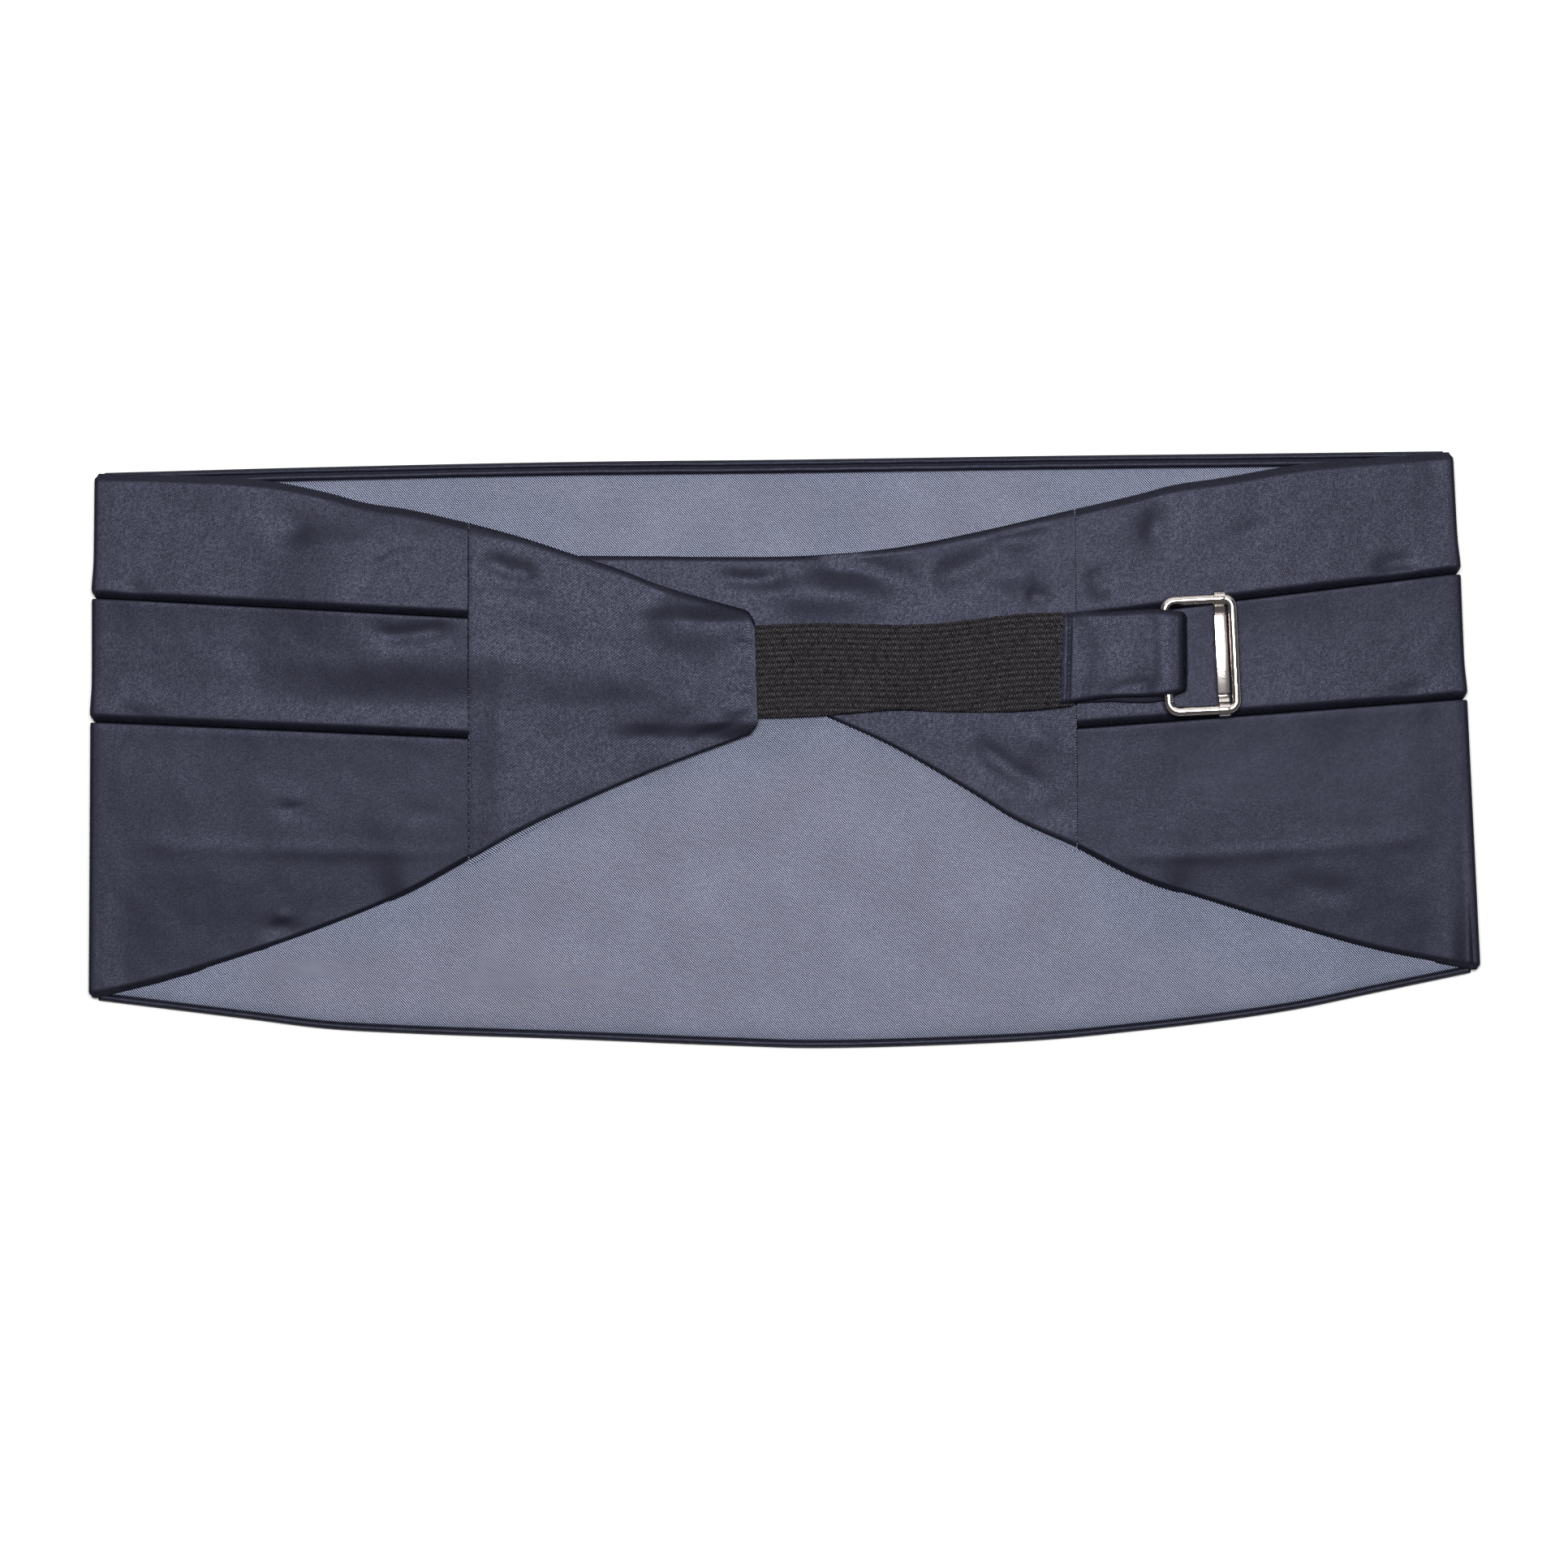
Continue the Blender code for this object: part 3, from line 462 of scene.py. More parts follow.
@dataclass
class PleatedSection:
    """The cut across the pleated wall: three bands, each folded over the one above."""

    depth: float = 4.0  # how far a band runs on inside the pleat
    crest_round: float = 0.42
    edge_round: float = 0.5
    dip: float = 2.2  # length over which a band rolls down into the pleat
    dip_curve: float = 1.5
    hem: float = 0.8  # length over which it rolls off at the lower edge
    puff: float = 0.45
    puff_length: float = 5.0
    roll: float = 1.2  # length over which it rolls off at the upper edge
    roll_curve: float = 1.8
    crest_drop: float = 0.11
    crest_run: float = 1.0
    crest_curve: float = 1.3
    mouth_before: float = 0.35  # how far before the pleat's line a band has rolled down to the mouth
    step_in: float = 0.4  # length of the step down to the pleat's floor, and of the turn at its inner end
    step_share: float = 0.7  # how much of the way down that step goes
    floor_in: float = 1.4  # from the pleat's line to where the floor is level
    lip_in: float = 1.2  # from the pleat's line to where the folded edge starts to round
    spread: float = 1.35  # over 1, a band's points lie closer together towards its end
    least_dip: float = 0.5  # bands that dip less than this don't puff up
    band_points: int = 44
    inner_points: int = 40

    def band(self, start: Row, end: Row, drops: Row, puff: float, dip: float) -> list[Row]:
        """A band's outer face from its crest, or the upper edge, to the next pleat or the lower edge.

        Args:
            start: place across and height where it begins, before it drops there.
            end: place across and height where it ends, before it drops there.
            drops: how far it drops to its start and to its end.
            puff: how far it stands up before it rolls down at its end.
            dip: length over which it rolls down at its end.

        Returns:
            Rows of place across the cloth and height.
        """
        rows = []
        for i in range(1, self.band_points):
            y = mix(start[0], end[0], 1 - (1 - i / self.band_points) ** self.spread)
            share = (start[0] - y) / (start[0] - end[0])
            height = mix(start[1], end[1], share)
            height += puff * math.exp(-(max(0.0, y - end[0] - dip) / self.puff_length) ** 2)
            height -= drops[0] * max(0.0, 1 - (start[0] - y) / self.roll) ** self.roll_curve
            if not drops[0]:
                height -= self.crest_drop * max(0.0, 1 - (start[0] - y) / self.crest_run) ** self.crest_curve
            height -= (drops[1] + puff) * min(1.0, max(0.0, 1 - (y - end[0]) / dip)) ** self.dip_curve
            rows.append((y, height))
        return rows

    def pleat(self, y: float, steps: PleatSteps) -> list[Row]:
        """The outer face down into a pleat and round the folded edge that laps it.

        Args:
            y: where the folded edge lies.
            steps: the wall's steps.

        Returns:
            Rows of place across the cloth and height.
        """
        end = y - self.depth
        rows = [(y + self.mouth_before, steps.mouth),
                (y - self.step_in, mix(steps.mouth, steps.floor, self.step_share)),
                (y - self.floor_in, steps.floor), (end + self.step_in, steps.floor),
                (end, (steps.floor + steps.lip) / 2),
                (end + self.step_in, steps.lip), (y - self.lip_in, steps.lip)]
        middle, radius = (steps.lip + steps.crest) / 2, (steps.crest - steps.lip) / 2
        for degrees in (-90, -60, -30, 0, 30, 60, 90):
            turn = math.radians(degrees)
            rows.append((y - self.crest_round * (1 - math.cos(turn)), middle + radius * math.sin(turn)))
        return rows

    def edge(self, y: float, height: float, side: int) -> list[Row]:
        """The rounded upper (side 1) or lower (side -1) edge, from the outer face to the inner one."""
        radius = height / 2
        rows = [(y - side * self.edge_round * (1 - math.cos(math.radians(a))),
                 radius + radius * math.sin(math.radians(a))) for a in (90, 50, 15, -15, -50)]
        return rows if side < 0 else rows[::-1]

    def outline(self, ys: Sequence[float], steps: PleatSteps) -> tuple[Array, int]:
        """The whole section.

        Args:
            ys: the upper edge, both pleats and the lower edge, across the cloth.
            steps: the wall's steps.

        Returns:
            The points as rows of place and height, and how many of them are on the outer face.
        """
        upper = self.edge(ys[0], steps.top, 1)
        first, second = self.pleat(ys[1], steps), self.pleat(ys[2], steps)
        lower = self.edge(ys[3], steps.bottom, -1)
        drop = steps.tail - steps.mouth
        puff = self.puff * (drop > self.least_dip)
        low, high = ys[3] + self.edge_round, ys[0] - self.edge_round
        outer = upper
        outer += self.band((upper[-1][0], steps.high), (ys[1], steps.tail), (steps.high - steps.top, drop), puff,
                           self.dip)
        outer += first + self.band(first[-1], (ys[2], steps.tail), (0.0, drop), puff, self.dip)
        hem_drop = steps.tail - steps.bottom
        outer += second + self.band(second[-1], (low, steps.tail), (0.0, hem_drop), 0.0, self.hem) + lower
        inner = [(mix(low, high, i / self.inner_points), 0.0) for i in range(self.inner_points + 1)]
        return np.array(outer + inner), len(outer)


@dataclass(frozen=True)
class Stretch:
    """A stretch of the pleated cloth between two rows of places: upper edge, both pleats and lower edge."""

    start: Rows
    end: Rows
    top: Rows  # the table of its upper edge
    bottom: Rows
    side: Side | None = None


@dataclass
class PleatedFront:
    """The pleated satin, one wall from the right seam round the front to the left seam."""

    front_wall: float = 1.4
    front_steps: PleatSteps = PleatSteps(1.4, 0.9, 0.6, 1.15, 1.4, 1.4, 1.4, 1.4)
    wing_steps: PleatSteps = PleatSteps(2.0, 1.3, 0.3, 0.36, 1.5, 1.6, 0.4, 0.5)
    top_edge: Rows = ((-178.5, 71.7), (-119, 73.3), (-56, 74.6), (0, 75.2), (70, 76.2), (133, 76.9),
                      (173, 77.4))
    bottom_edge: Rows = ((-180.4, -64.9), (-140, -69.9), (-119, -72.5), (-98, -73.7), (-56, -75.2),
                         (-14, -76.9), (7, -77.5), (49, -76.4), (70, -75.2), (91, -73.1), (112, -70.6),
                         (133, -67.4), (154, -63), (180.4, -57.5))
    left_fold: Rows = ((-178.4, 71.7), (-178.8, 38.9), (-179.2, 6.9), (-180, -64.9))
    right_fold: Rows = ((172.7, 77.4), (174.4, 45.2), (176.1, 12.8), (179.9, -57.5))
    left_seam: Rows = ((-81.9, 58.6), (-81.9, 33.8), (-81.9, 2.7), (-81.9, -28.8))
    right_seam: Rows = ((75.2, 62.2), (75.4, 33.2), (75.6, 5.3), (75.8, -25.6))
    left_top: Rows = ((-178.5, 71.4), (-161, 71.1), (-134, 69.5), (-119, 66.6), (-108.5, 63.8), (-98, 62.2),
                      (-81.9, 58.6))
    left_bottom: Rows = ((-180.4, -64.9), (-161, -60.3), (-140, -53.8), (-119, -46.4), (-98, -37.6),
                         (-81.9, -28.8))
    right_top: Rows = ((75.2, 62.2), (91, 65.9), (101, 68.5), (112, 70.1), (133, 73.7), (154, 75.6),
                       (173, 77.1))
    right_bottom: Rows = ((75.2, -25.4), (91, -33.4), (112, -40.3), (133, -46.8), (154, -52.5), (180.4, -57.5))
    section: PleatedSection = field(default_factory=PleatedSection)
    front_stretches: int = 110
    wing_stretches: int = 72
    bends: int = 30
    bend_power: float = 5.0  # 2 for a round fold, more for one that is pressed flat
    cloth_middle: float = 280.0  # the place of its middle along the cloth as cut
    fold_reach: float = 2.01  # from the middle of a side fold's bend to its outline
    crest_height: float = 0.4
    crest_length: float = 12.0
    crest_reach: float = 0.05  # how far round its folded edge a band still counts as raised
    above_mouth: float = 0.2  # points lower than this over the pleat's mouth aren't raised
    crest_wander: float = 0.25  # how much the crests' height wanders, as a share
    wander_length: float = 24.0
    wander_seed: float = 2.2
    crest_fade: float = 10.0  # from a side fold
    relief_fade: float = 6.0  # the same for the creases
    underside_hollow: float = 0.35  # at most
    tab_clear: Row = (104.0, 8.0)  # where the first pleat of the right wing comes free of the tab

    @property
    def bend_radius(self) -> float:
        """The inner radius of the side folds."""
        return (LAYERS.wing_z - self.front_wall) / 2

    def fold(self, side: Side) -> Rows:
        """The middle of a side fold's bend, in from its outline."""
        outline = self.left_fold if side is Side.LEFT else self.right_fold
        return tuple((x - side.value * self.fold_reach, y) for x, y in outline)

    def section_at(self, stretch: Stretch, share: float, steps: PleatSteps) -> tuple[Array, Array, int]:
        """A section across the cloth.

        Args:
            stretch: where it lies.
            share: how far along the stretch it is.
            steps: the wall's steps.

        Returns:
            The points as x, y and height, the y of its edges and pleats, and the number of outer points.
        """
        xs = np.array([mix(a[0], b[0], share) for a, b in zip(stretch.start, stretch.end)])
        pleats = [mix(stretch.start[i][1], stretch.end[i][1], share) for i in (1, 2)]
        ys = [float(through(stretch.top)(xs[0])), *pleats, float(through(stretch.bottom)(xs[3]))]
        outline, outer = self.section.outline(ys, steps)
        x_at = np.interp(outline[:, 0], ys[::-1], xs[::-1])
        return np.stack([x_at, outline[:, 0], outline[:, 1]], 1), np.array(ys), outer

    def sections(self) -> tuple[list[Array], int]:
        """Every section round the garment, from the left seam over the front to the right seam.

        Returns:
            The sections' points in millimetres, and the number of outer points.
        """
        left, right = self.fold(Side.LEFT), self.fold(Side.RIGHT)
        left_wing = Stretch(self.left_seam, left, self.left_top, self.left_bottom, Side.LEFT)
        right_wing = Stretch(right, self.right_seam, self.right_top, self.right_bottom, Side.RIGHT)
        between = Stretch(left, right, self.top_edge, self.bottom_edge)
        on_wing = [i / self.wing_stretches for i in range(self.wing_stretches + 1)]
        in_bend = [i / self.bends for i in range(1, self.bends)]
        found = [self.wing_section(left_wing, share) for share in on_wing]
        found += [self.bend_section(left_wing, share) for share in reversed(in_bend)]
        for i in range(self.front_stretches + 1):
            cut, _, outer = self.section_at(between, i / self.front_stretches, self.front_steps)
            cut[:, 2] = np.maximum(self.front_wall - cut[:, 2], 0) + self.underside_relief(cut, outer)
            found.append(cut)
        found += [self.bend_section(right_wing, share) for share in in_bend]
        found += [self.wing_section(right_wing, share) for share in on_wing]
        return found, outer

    def underside_relief(self, cut: Array, outer: int) -> Array:
        """How far the front's outer side, on which it lies, is raised off the table by its hollows."""
        raised = np.clip(relief(UNDERSIDE_RELIEF, cut[:, 0], cut[:, 1]), 0, self.underside_hollow)
        raised[outer:] = 0
        return raised

    def wing_section(self, wing: Stretch, share: float) -> Array:
        """One section of a wing, with its creases and what lifts it, in millimetres.

        Args:
            wing: its stretch of the cloth.
            share: how far along the stretch it is.

        Returns:
            The points as x, y and height.
        """
        cut, ys, outer = self.section_at(wing, share, self.wing_steps)
        x, y = cut[:, 0], cut[:, 1]
        features = LEFT_WING_RELIEF if wing.side is Side.LEFT else RIGHT_WING_RELIEF
        raised = relief(features, x, y) * ease(np.abs(x - self.fold(wing.side)[1][0]) / self.relief_fade)
        raised += self.crest_rise(cut, ys, wing.side)
        raised[outer:] = 0
        cut[:, 2] += LAYERS.wing_z + raised
        if wing.side is Side.LEFT:
            cut[:, 2] += LAYERS.strap_lift(x, y)
        return cut

    def crest_rise(self, cut: Array, ys: Array, side: Side) -> Array:
        """How far each band stands up towards its folded edge, but not where the tab lies on it.

        Args:
            cut: the section's points.
            ys: the y of its edges and pleats.
            side: the wing.

        Returns:
            The rise at each point.
        """
        x, y = cut[:, 0], cut[:, 1]
        rise = np.zeros(len(cut))
        for pleat, crest_y in enumerate(ys[1:3]):
            clear = 1.0 if side is Side.LEFT or pleat else ease((x - self.tab_clear[0]) / self.tab_clear[1])
            place = Vector((x[0] / self.wander_length, crest_y, self.wander_seed))
            wander = 1 + self.crest_wander * noise.noise(place)
            fall = np.clip(1 - (crest_y - y) / self.crest_length, 0, 1) ** 2
            on_band = (y <= crest_y + self.crest_reach) & (cut[:, 2] > self.wing_steps.mouth + self.above_mouth)
            rise += self.crest_height * wander * clear * fall * on_band
        return rise * ease(np.abs(x - self.fold(side)[1][0]) / self.crest_fade)

    def bend_section(self, wing: Stretch, share: float) -> Array:
        """One section round a wing's side fold, share of the way from the front to the wing.

        Args:
            wing: the wing's stretch of the cloth.
            share: how far round it is.

        Returns:
            The points as x, y and height.
        """
        fold = self.fold(wing.side)
        steps = self.front_steps.towards(self.wing_steps, share)
        cut, _, _ = self.section_at(replace(wing, start=fold, end=fold), 0.0, steps)
        angle = math.radians(180 * share - 90)
        cos, sin = math.cos(angle), math.sin(angle)
        squareness = abs(cos) ** self.bend_power + abs(sin) ** self.bend_power
        reach = (self.bend_radius + cut[:, 2]) * squareness ** (-1 / self.bend_power)
        cut[:, 0] += wing.side.value * reach * cos
        cut[:, 2] = np.maximum((LAYERS.wing_z + self.front_wall) / 2 + reach * sin, 0)
        return cut

    def build(self, finish: Material) -> Piece:
        """Builds the pleated cloth and lets it stand for its solid.

        Args:
            finish: the satin.

        Returns:
            The piece.
        """
        found, outer = self.sections()
        rings = np.array(found)
        middle = len(found) // 2
        steps = np.linalg.norm(np.diff(rings, axis=0), axis=2)
        run = np.concatenate([np.zeros((1, rings.shape[1])), np.cumsum(steps, axis=0)])
        along = run - run[middle] + self.cloth_middle
        across = lengths_along(rings[middle][:, 1:])
        back = (across[outer:] - across[outer]) / (across[-1] - across[outer])
        across[outer:] = across[outer - 1] * (1 - back)
        cloth = np.stack([along, np.broadcast_to(across, along.shape)], -1)
        return settle(wall_mesh("satin_front", rings, cloth), finish, "front_panel")


LEFT_WING_RELIEF = (
    Slackness(0.22, 17.0, 3.1),
    Slackness(0.08, 5.5, 13.1),
    Swell((-127.5, 56.0), (4.5, 4.0), -0.72),
    Swell((-121, 58.5), (14, 3.0), -0.24, -12),
    Swell((-168.5, 41.5), (4.5, 2.2), -0.38, -4),
    Swell((-168.5, 9.0), (5.0, 2.4), -0.38, -4),
    Crease(((-131, -13.2), (-127.4, -13.0), (-124, -13.4)), 0.32, 0.9, 0.4),
    Swell((-128, -15.4), (3.6, 1.9), -0.43),
    Crease(((-133, -43.6), (-130, -43.2), (-127, -43.9)), 0.32, 0.9, 0.4),
    Swell((-130.6, -46.2), (4.2, 2.2), -0.49),
    Swell((-95, -16.5), (5, 2.4), -0.22),
    Crease(((-176, -24.6), (-150, -25.6), (-115, -26.4), (-84, -27.2)), 0.2, 1.7, 0.2),
    Crease(((-182, -58), (-150, -53), (-120, -44), (-96, -36)), -0.85, 15.0, 0.1),
    Crease(((-111, 31), (-110.7, 38), (-106, 47), (-98, 51), (-84, 49.5)), -0.3, 1.6, 0.5),
    Crease(((-109, 30.5), (-101, 29), (-90, 30.5), (-84, 31.5)), -0.63, 2.4, 0.3),
)
RIGHT_WING_RELIEF = (
    Slackness(0.22, 17.0, 9.7),
    Slackness(0.08, 5.5, 19.7),
    Swell((95.8, 57.0), (3.4, 5.0), -0.95, -10),
    Swell((120, 56.0), (5.5, 2.6), -0.32, 20),
    Crease(((150, 46.5), (158, 48.0), (166, 49.0)), -0.63, 2.6, 0.4),
    Swell((163, 15.4), (5.5, 2.2), -0.38, 4),
    Crease(((80, -28.0), (110, -27.4), (140, -25.2), (176, -21.8)), 0.22, 1.7, 0.2),
    Crease(((96, -38), (125, -46), (152, -53), (182, -56)), -0.95, 15.0, 0.1),
    Crease(((128, -32), (136, -36), (150, -38)), -0.36, 3.5, 0.4),
    Crease(((79, 48), (83, 38)), -0.45, 2.5, 0.4),
)
UNDERSIDE_RELIEF = (
    Swell((-120, 50), (9, 4), 0.25, 20),
    Swell((60, 55), (12, 5), 0.22, -15),
    Crease(((-170, -30), (-60, -33), (60, -33), (172, -26)), 0.22, 2.0, 0.1),
    Crease(((-20, 60), (-26, 45)), 0.25, 2.5, 0.4),
    Swell((15, -5), (8, 3), 0.22, 10),
    Swell((125, 20), (7, 3), 0.25, -20),
)


# ---------------------------------------------------------------- plain cloths

@dataclass
class ClothPanel:
    """A plain piece of cloth: a closed wall whose cut edges are rounded."""

    name: str
    rows: int  # steps across its outer face
    wall: float
    under: Curve  # height of its underside at places x, y
    features: tuple = ()
    upper_roll: Row = (0.15, 1.0)  # how far the outer face falls off at its upper edge, and over what width
    lower_roll: Row = (0.15, 1.0)
    roll_power: float = 2.4
    edge_round: float = 0.4
    widest_inset: float = 0.2  # the rounding's largest share of the width
    thinnest: float = 0.25  # what a hollow leaves of the wall
    under_rows: int = 24

    def build(self, uppers: Array, lowers: Array, waviness: Curve | None = None) -> Piece:
        """Builds it between two edges.

        Args:
            uppers: points x, y of the upper edge.
            lowers: points x, y of the lower edge, as many.
            waviness: a height to add over the outer face, from places along and across the cloth.

        Returns:
            The piece, with no material yet.
        """
        rings, cloth = [], []
        middles = (uppers + lowers) / 2
        run = lengths_along(middles)
        for upper, lower, along in zip(uppers, lowers, run):
            length = float(np.linalg.norm(upper - lower))
            inset = min(self.edge_round / length, self.widest_inset)
            shares, heights = rounded_ring(inset, self.under_rows + 1, self.rows + 1)
            x = upper[0] + (lower[0] - upper[0]) * shares
            y = upper[1] + (lower[1] - upper[1]) * shares
            across = shares * length
            rise = heights * self.wall
            outer = heights > OUTER_FROM
            rolls, offs = (self.upper_roll, self.lower_roll), (across, length - across)
            shape = relief(self.features, x, y) - rolled(rolls, offs, self.roll_power)
            if waviness is not None:
                shape = shape + waviness(along + 0 * across, across)
            rise = rise + np.where(outer, np.maximum(shape, min(0.0, self.thinnest - self.wall)) * heights, 0)
            rings.append(np.stack([x, y, self.under(x, y) + rise], 1))
            cloth.append(np.stack([run[-1] - along + 0 * across, across], 1))
        return wall_mesh(self.name, np.array(rings), np.array(cloth))


def level(height: float) -> Curve:
    """The same height at every place."""
    return lambda x, y: height + 0 * x


def edge_points(xs: Array, curve: Curve) -> Array:
    """Points x, y of an edge at places along the waist."""
    return np.stack([xs, curve(xs)], 1)


UPPER_ENDS = (-175.6, 169.9)  # of the lining's upper edge and its binding, along the waist
LOWER_ENDS = (-177.2, 177.1)  # the same at the lower edge


@dataclass
class Lining:
    """The twill lining of the front's inner side."""

    above: float = 3.8  # from the front's upper edge to the lining's
    below: float = 2.1
    base_z: float = 1.7
    wall: float = 1.0
    columns: int = 150
    rows: int = 60

    def build(self, front: PleatedFront, finish: Material) -> Piece:
        """Builds the lining between the two bindings.

        Args:
            front: the pleated cloth that it lines.
            finish: the twill.

        Returns:
            The piece.
        """
        upper_xs, lower_xs = (np.linspace(*ends, self.columns) for ends in (UPPER_ENDS, LOWER_ENDS))
        uppers = edge_points(upper_xs, through(front.top_edge)) - [0, self.above]
        lowers = edge_points(lower_xs, through(front.bottom_edge)) + [0, self.below]
        panel = ClothPanel("twill_lining", self.rows, self.wall, level(self.base_z), LINING_RELIEF)
        return settle(panel.build(uppers, lowers), finish, "front_lining")


LINING_RELIEF = (
    Slackness(0.14, 26.0, 5.3),
    Crease(((-155, -50), (-153.5, -58), (-154, -66)), -0.3, 1.7, 0.4),
    Crease(((-147, -52), (-146, -60), (-146.5, -66)), 0.18, 1.6, 0.4),
    Crease(((-139, -55), (-138.5, -67)), -0.22, 1.6, 0.4),
    Crease(((153.5, -52), (153.9, -60)), -0.25, 1.8, 0.4),
    Crease(((72, 71), (74, 63)), -0.3, 1.6, 0.35),
    Crease(((79, 71.5), (80, 65)), 0.18, 1.6, 0.35),
    Crease(((85, 72), (88, 65)), -0.28, 1.8, 0.35),
    Crease(((-36.5, 71), (-36, 66)), -0.25, 1.3, 0.35),
    Crease(((-120, 68.5), (-100, 66)), -0.12, 2.5, 0.3),
    Swell((60, -40), (40, 9), 0.1, 10),
    Swell((-60, -50), (45, 8), -0.12, -8),
)


@dataclass
class Bindings:
    """The satin turned over the upper edge, with two ridges, and the narrow one at the lower edge."""

    base_z: float = 1.7
    wall: float = 1.0
    inset: float = 0.3
    upper_width: float = 3.2
    groove_at: float = 1.45  # from its outer edge
    groove_width: float = 0.1
    lower_width: float = 1.5
    second_ridge: float = 0.96  # height of the inner ridge, as a share of the wall
    ridge_depth: float = 0.42  # how far a ridge falls off to its sides
    ridge_curve: float = 2.4
    feet: Row = (0.3, 0.25)  # heights up to which its outer and its inner side stand upright
    waver: Row = (0.1, 9.0)  # how far its lines waver, and over what length
    ripple: Row = (0.09, 3.1)  # the same for its height, as a share
    seeds: Row = (1.7, 7.7)  # of the waver and of the ripple
    steady: float = 0.2  # this much at both edges doesn't waver
    columns: int = 260

    def strip(self, name: str, xs: Array, edge: Curve, profile: Sequence[Row], side: int) -> Piece:
        """A strip that follows an edge.

        Args:
            name: the piece's name.
            xs: places along the waist.
            edge: the edge's curve.
            profile: rows of distance in from the edge and height.
            side: 1 for the upper edge, -1 for the lower one.

        Returns:
            The piece, with no material yet.
        """
        rows = np.array(profile)
        run = lengths_along(edge_points(xs, edge))
        across = lengths_along(rows)
        rings, cloth = [], []
        for x, y, along in zip(xs, edge(xs), run):
            waver, ripple = (height * noise.noise(Vector((x / length, side, seed)))
                             for (height, length), seed in zip((self.waver, self.ripple), self.seeds))
            heights = rows[:, 1] * (1 + ripple * (rows[:, 1] > self.wall / 2))
            inside = (rows[:, 0] > self.steady) * (rows[:, 0] < rows[:, 0].max() - self.steady)
            places = rows[:, 0] + waver * inside
            rings.append(np.stack([x + 0 * places, y - side * (self.inset + places), self.base_z + heights], 1))
            cloth.append(np.stack([run[-1] - along + 0 * across, across], 1))
        return wall_mesh(name, np.array(rings), np.array(cloth))

    def ridge(self, start: float, end: float, height: float) -> list[Row]:
        """The rounded top of a ridge between two distances from the edge."""
        return [(mix(start, end, i / 8), height - self.ridge_depth * abs(i / 4 - 1) ** self.ridge_curve)
                for i in range(9)]

    def profile(self, width: float, *ridges: tuple[float, float, float]) -> list[Row]:
        """A strip's cut: up its outer side, over its ridges and down its inner side."""
        tops = [row for ridge in ridges for row in self.ridge(*ridge)]
        return [(0, 0), (0, self.feet[0])] + tops + [(width, self.feet[1]), (width, 0)]

    def build(self, front: PleatedFront, finish: Material) -> list[Piece]:
        """Builds both bindings.

        Args:
            front: the pleated cloth whose edges they bind.
            finish: the satin.

        Returns:
            The two pieces.
        """
        inner_ridge = (self.groove_at + self.groove_width, self.upper_width, self.wall * self.second_ridge)
        upper = self.profile(self.upper_width, (0.0, self.groove_at, self.wall), inner_ridge)
        lower = self.profile(self.lower_width, (0.0, self.lower_width, self.wall))
        made = []
        for name, node, ends, edge, profile, side in (
                ("upper_binding", "top_binding", UPPER_ENDS, front.top_edge, upper, 1),
                ("lower_binding", "bottom_binding", LOWER_ENDS, front.bottom_edge, lower, -1)):
            strip = self.strip(name, np.linspace(*ends, self.columns), through(edge), profile, side)
            made.append(settle(strip, finish, node))
        return made


# ---------------------------------------------------------------- back pieces

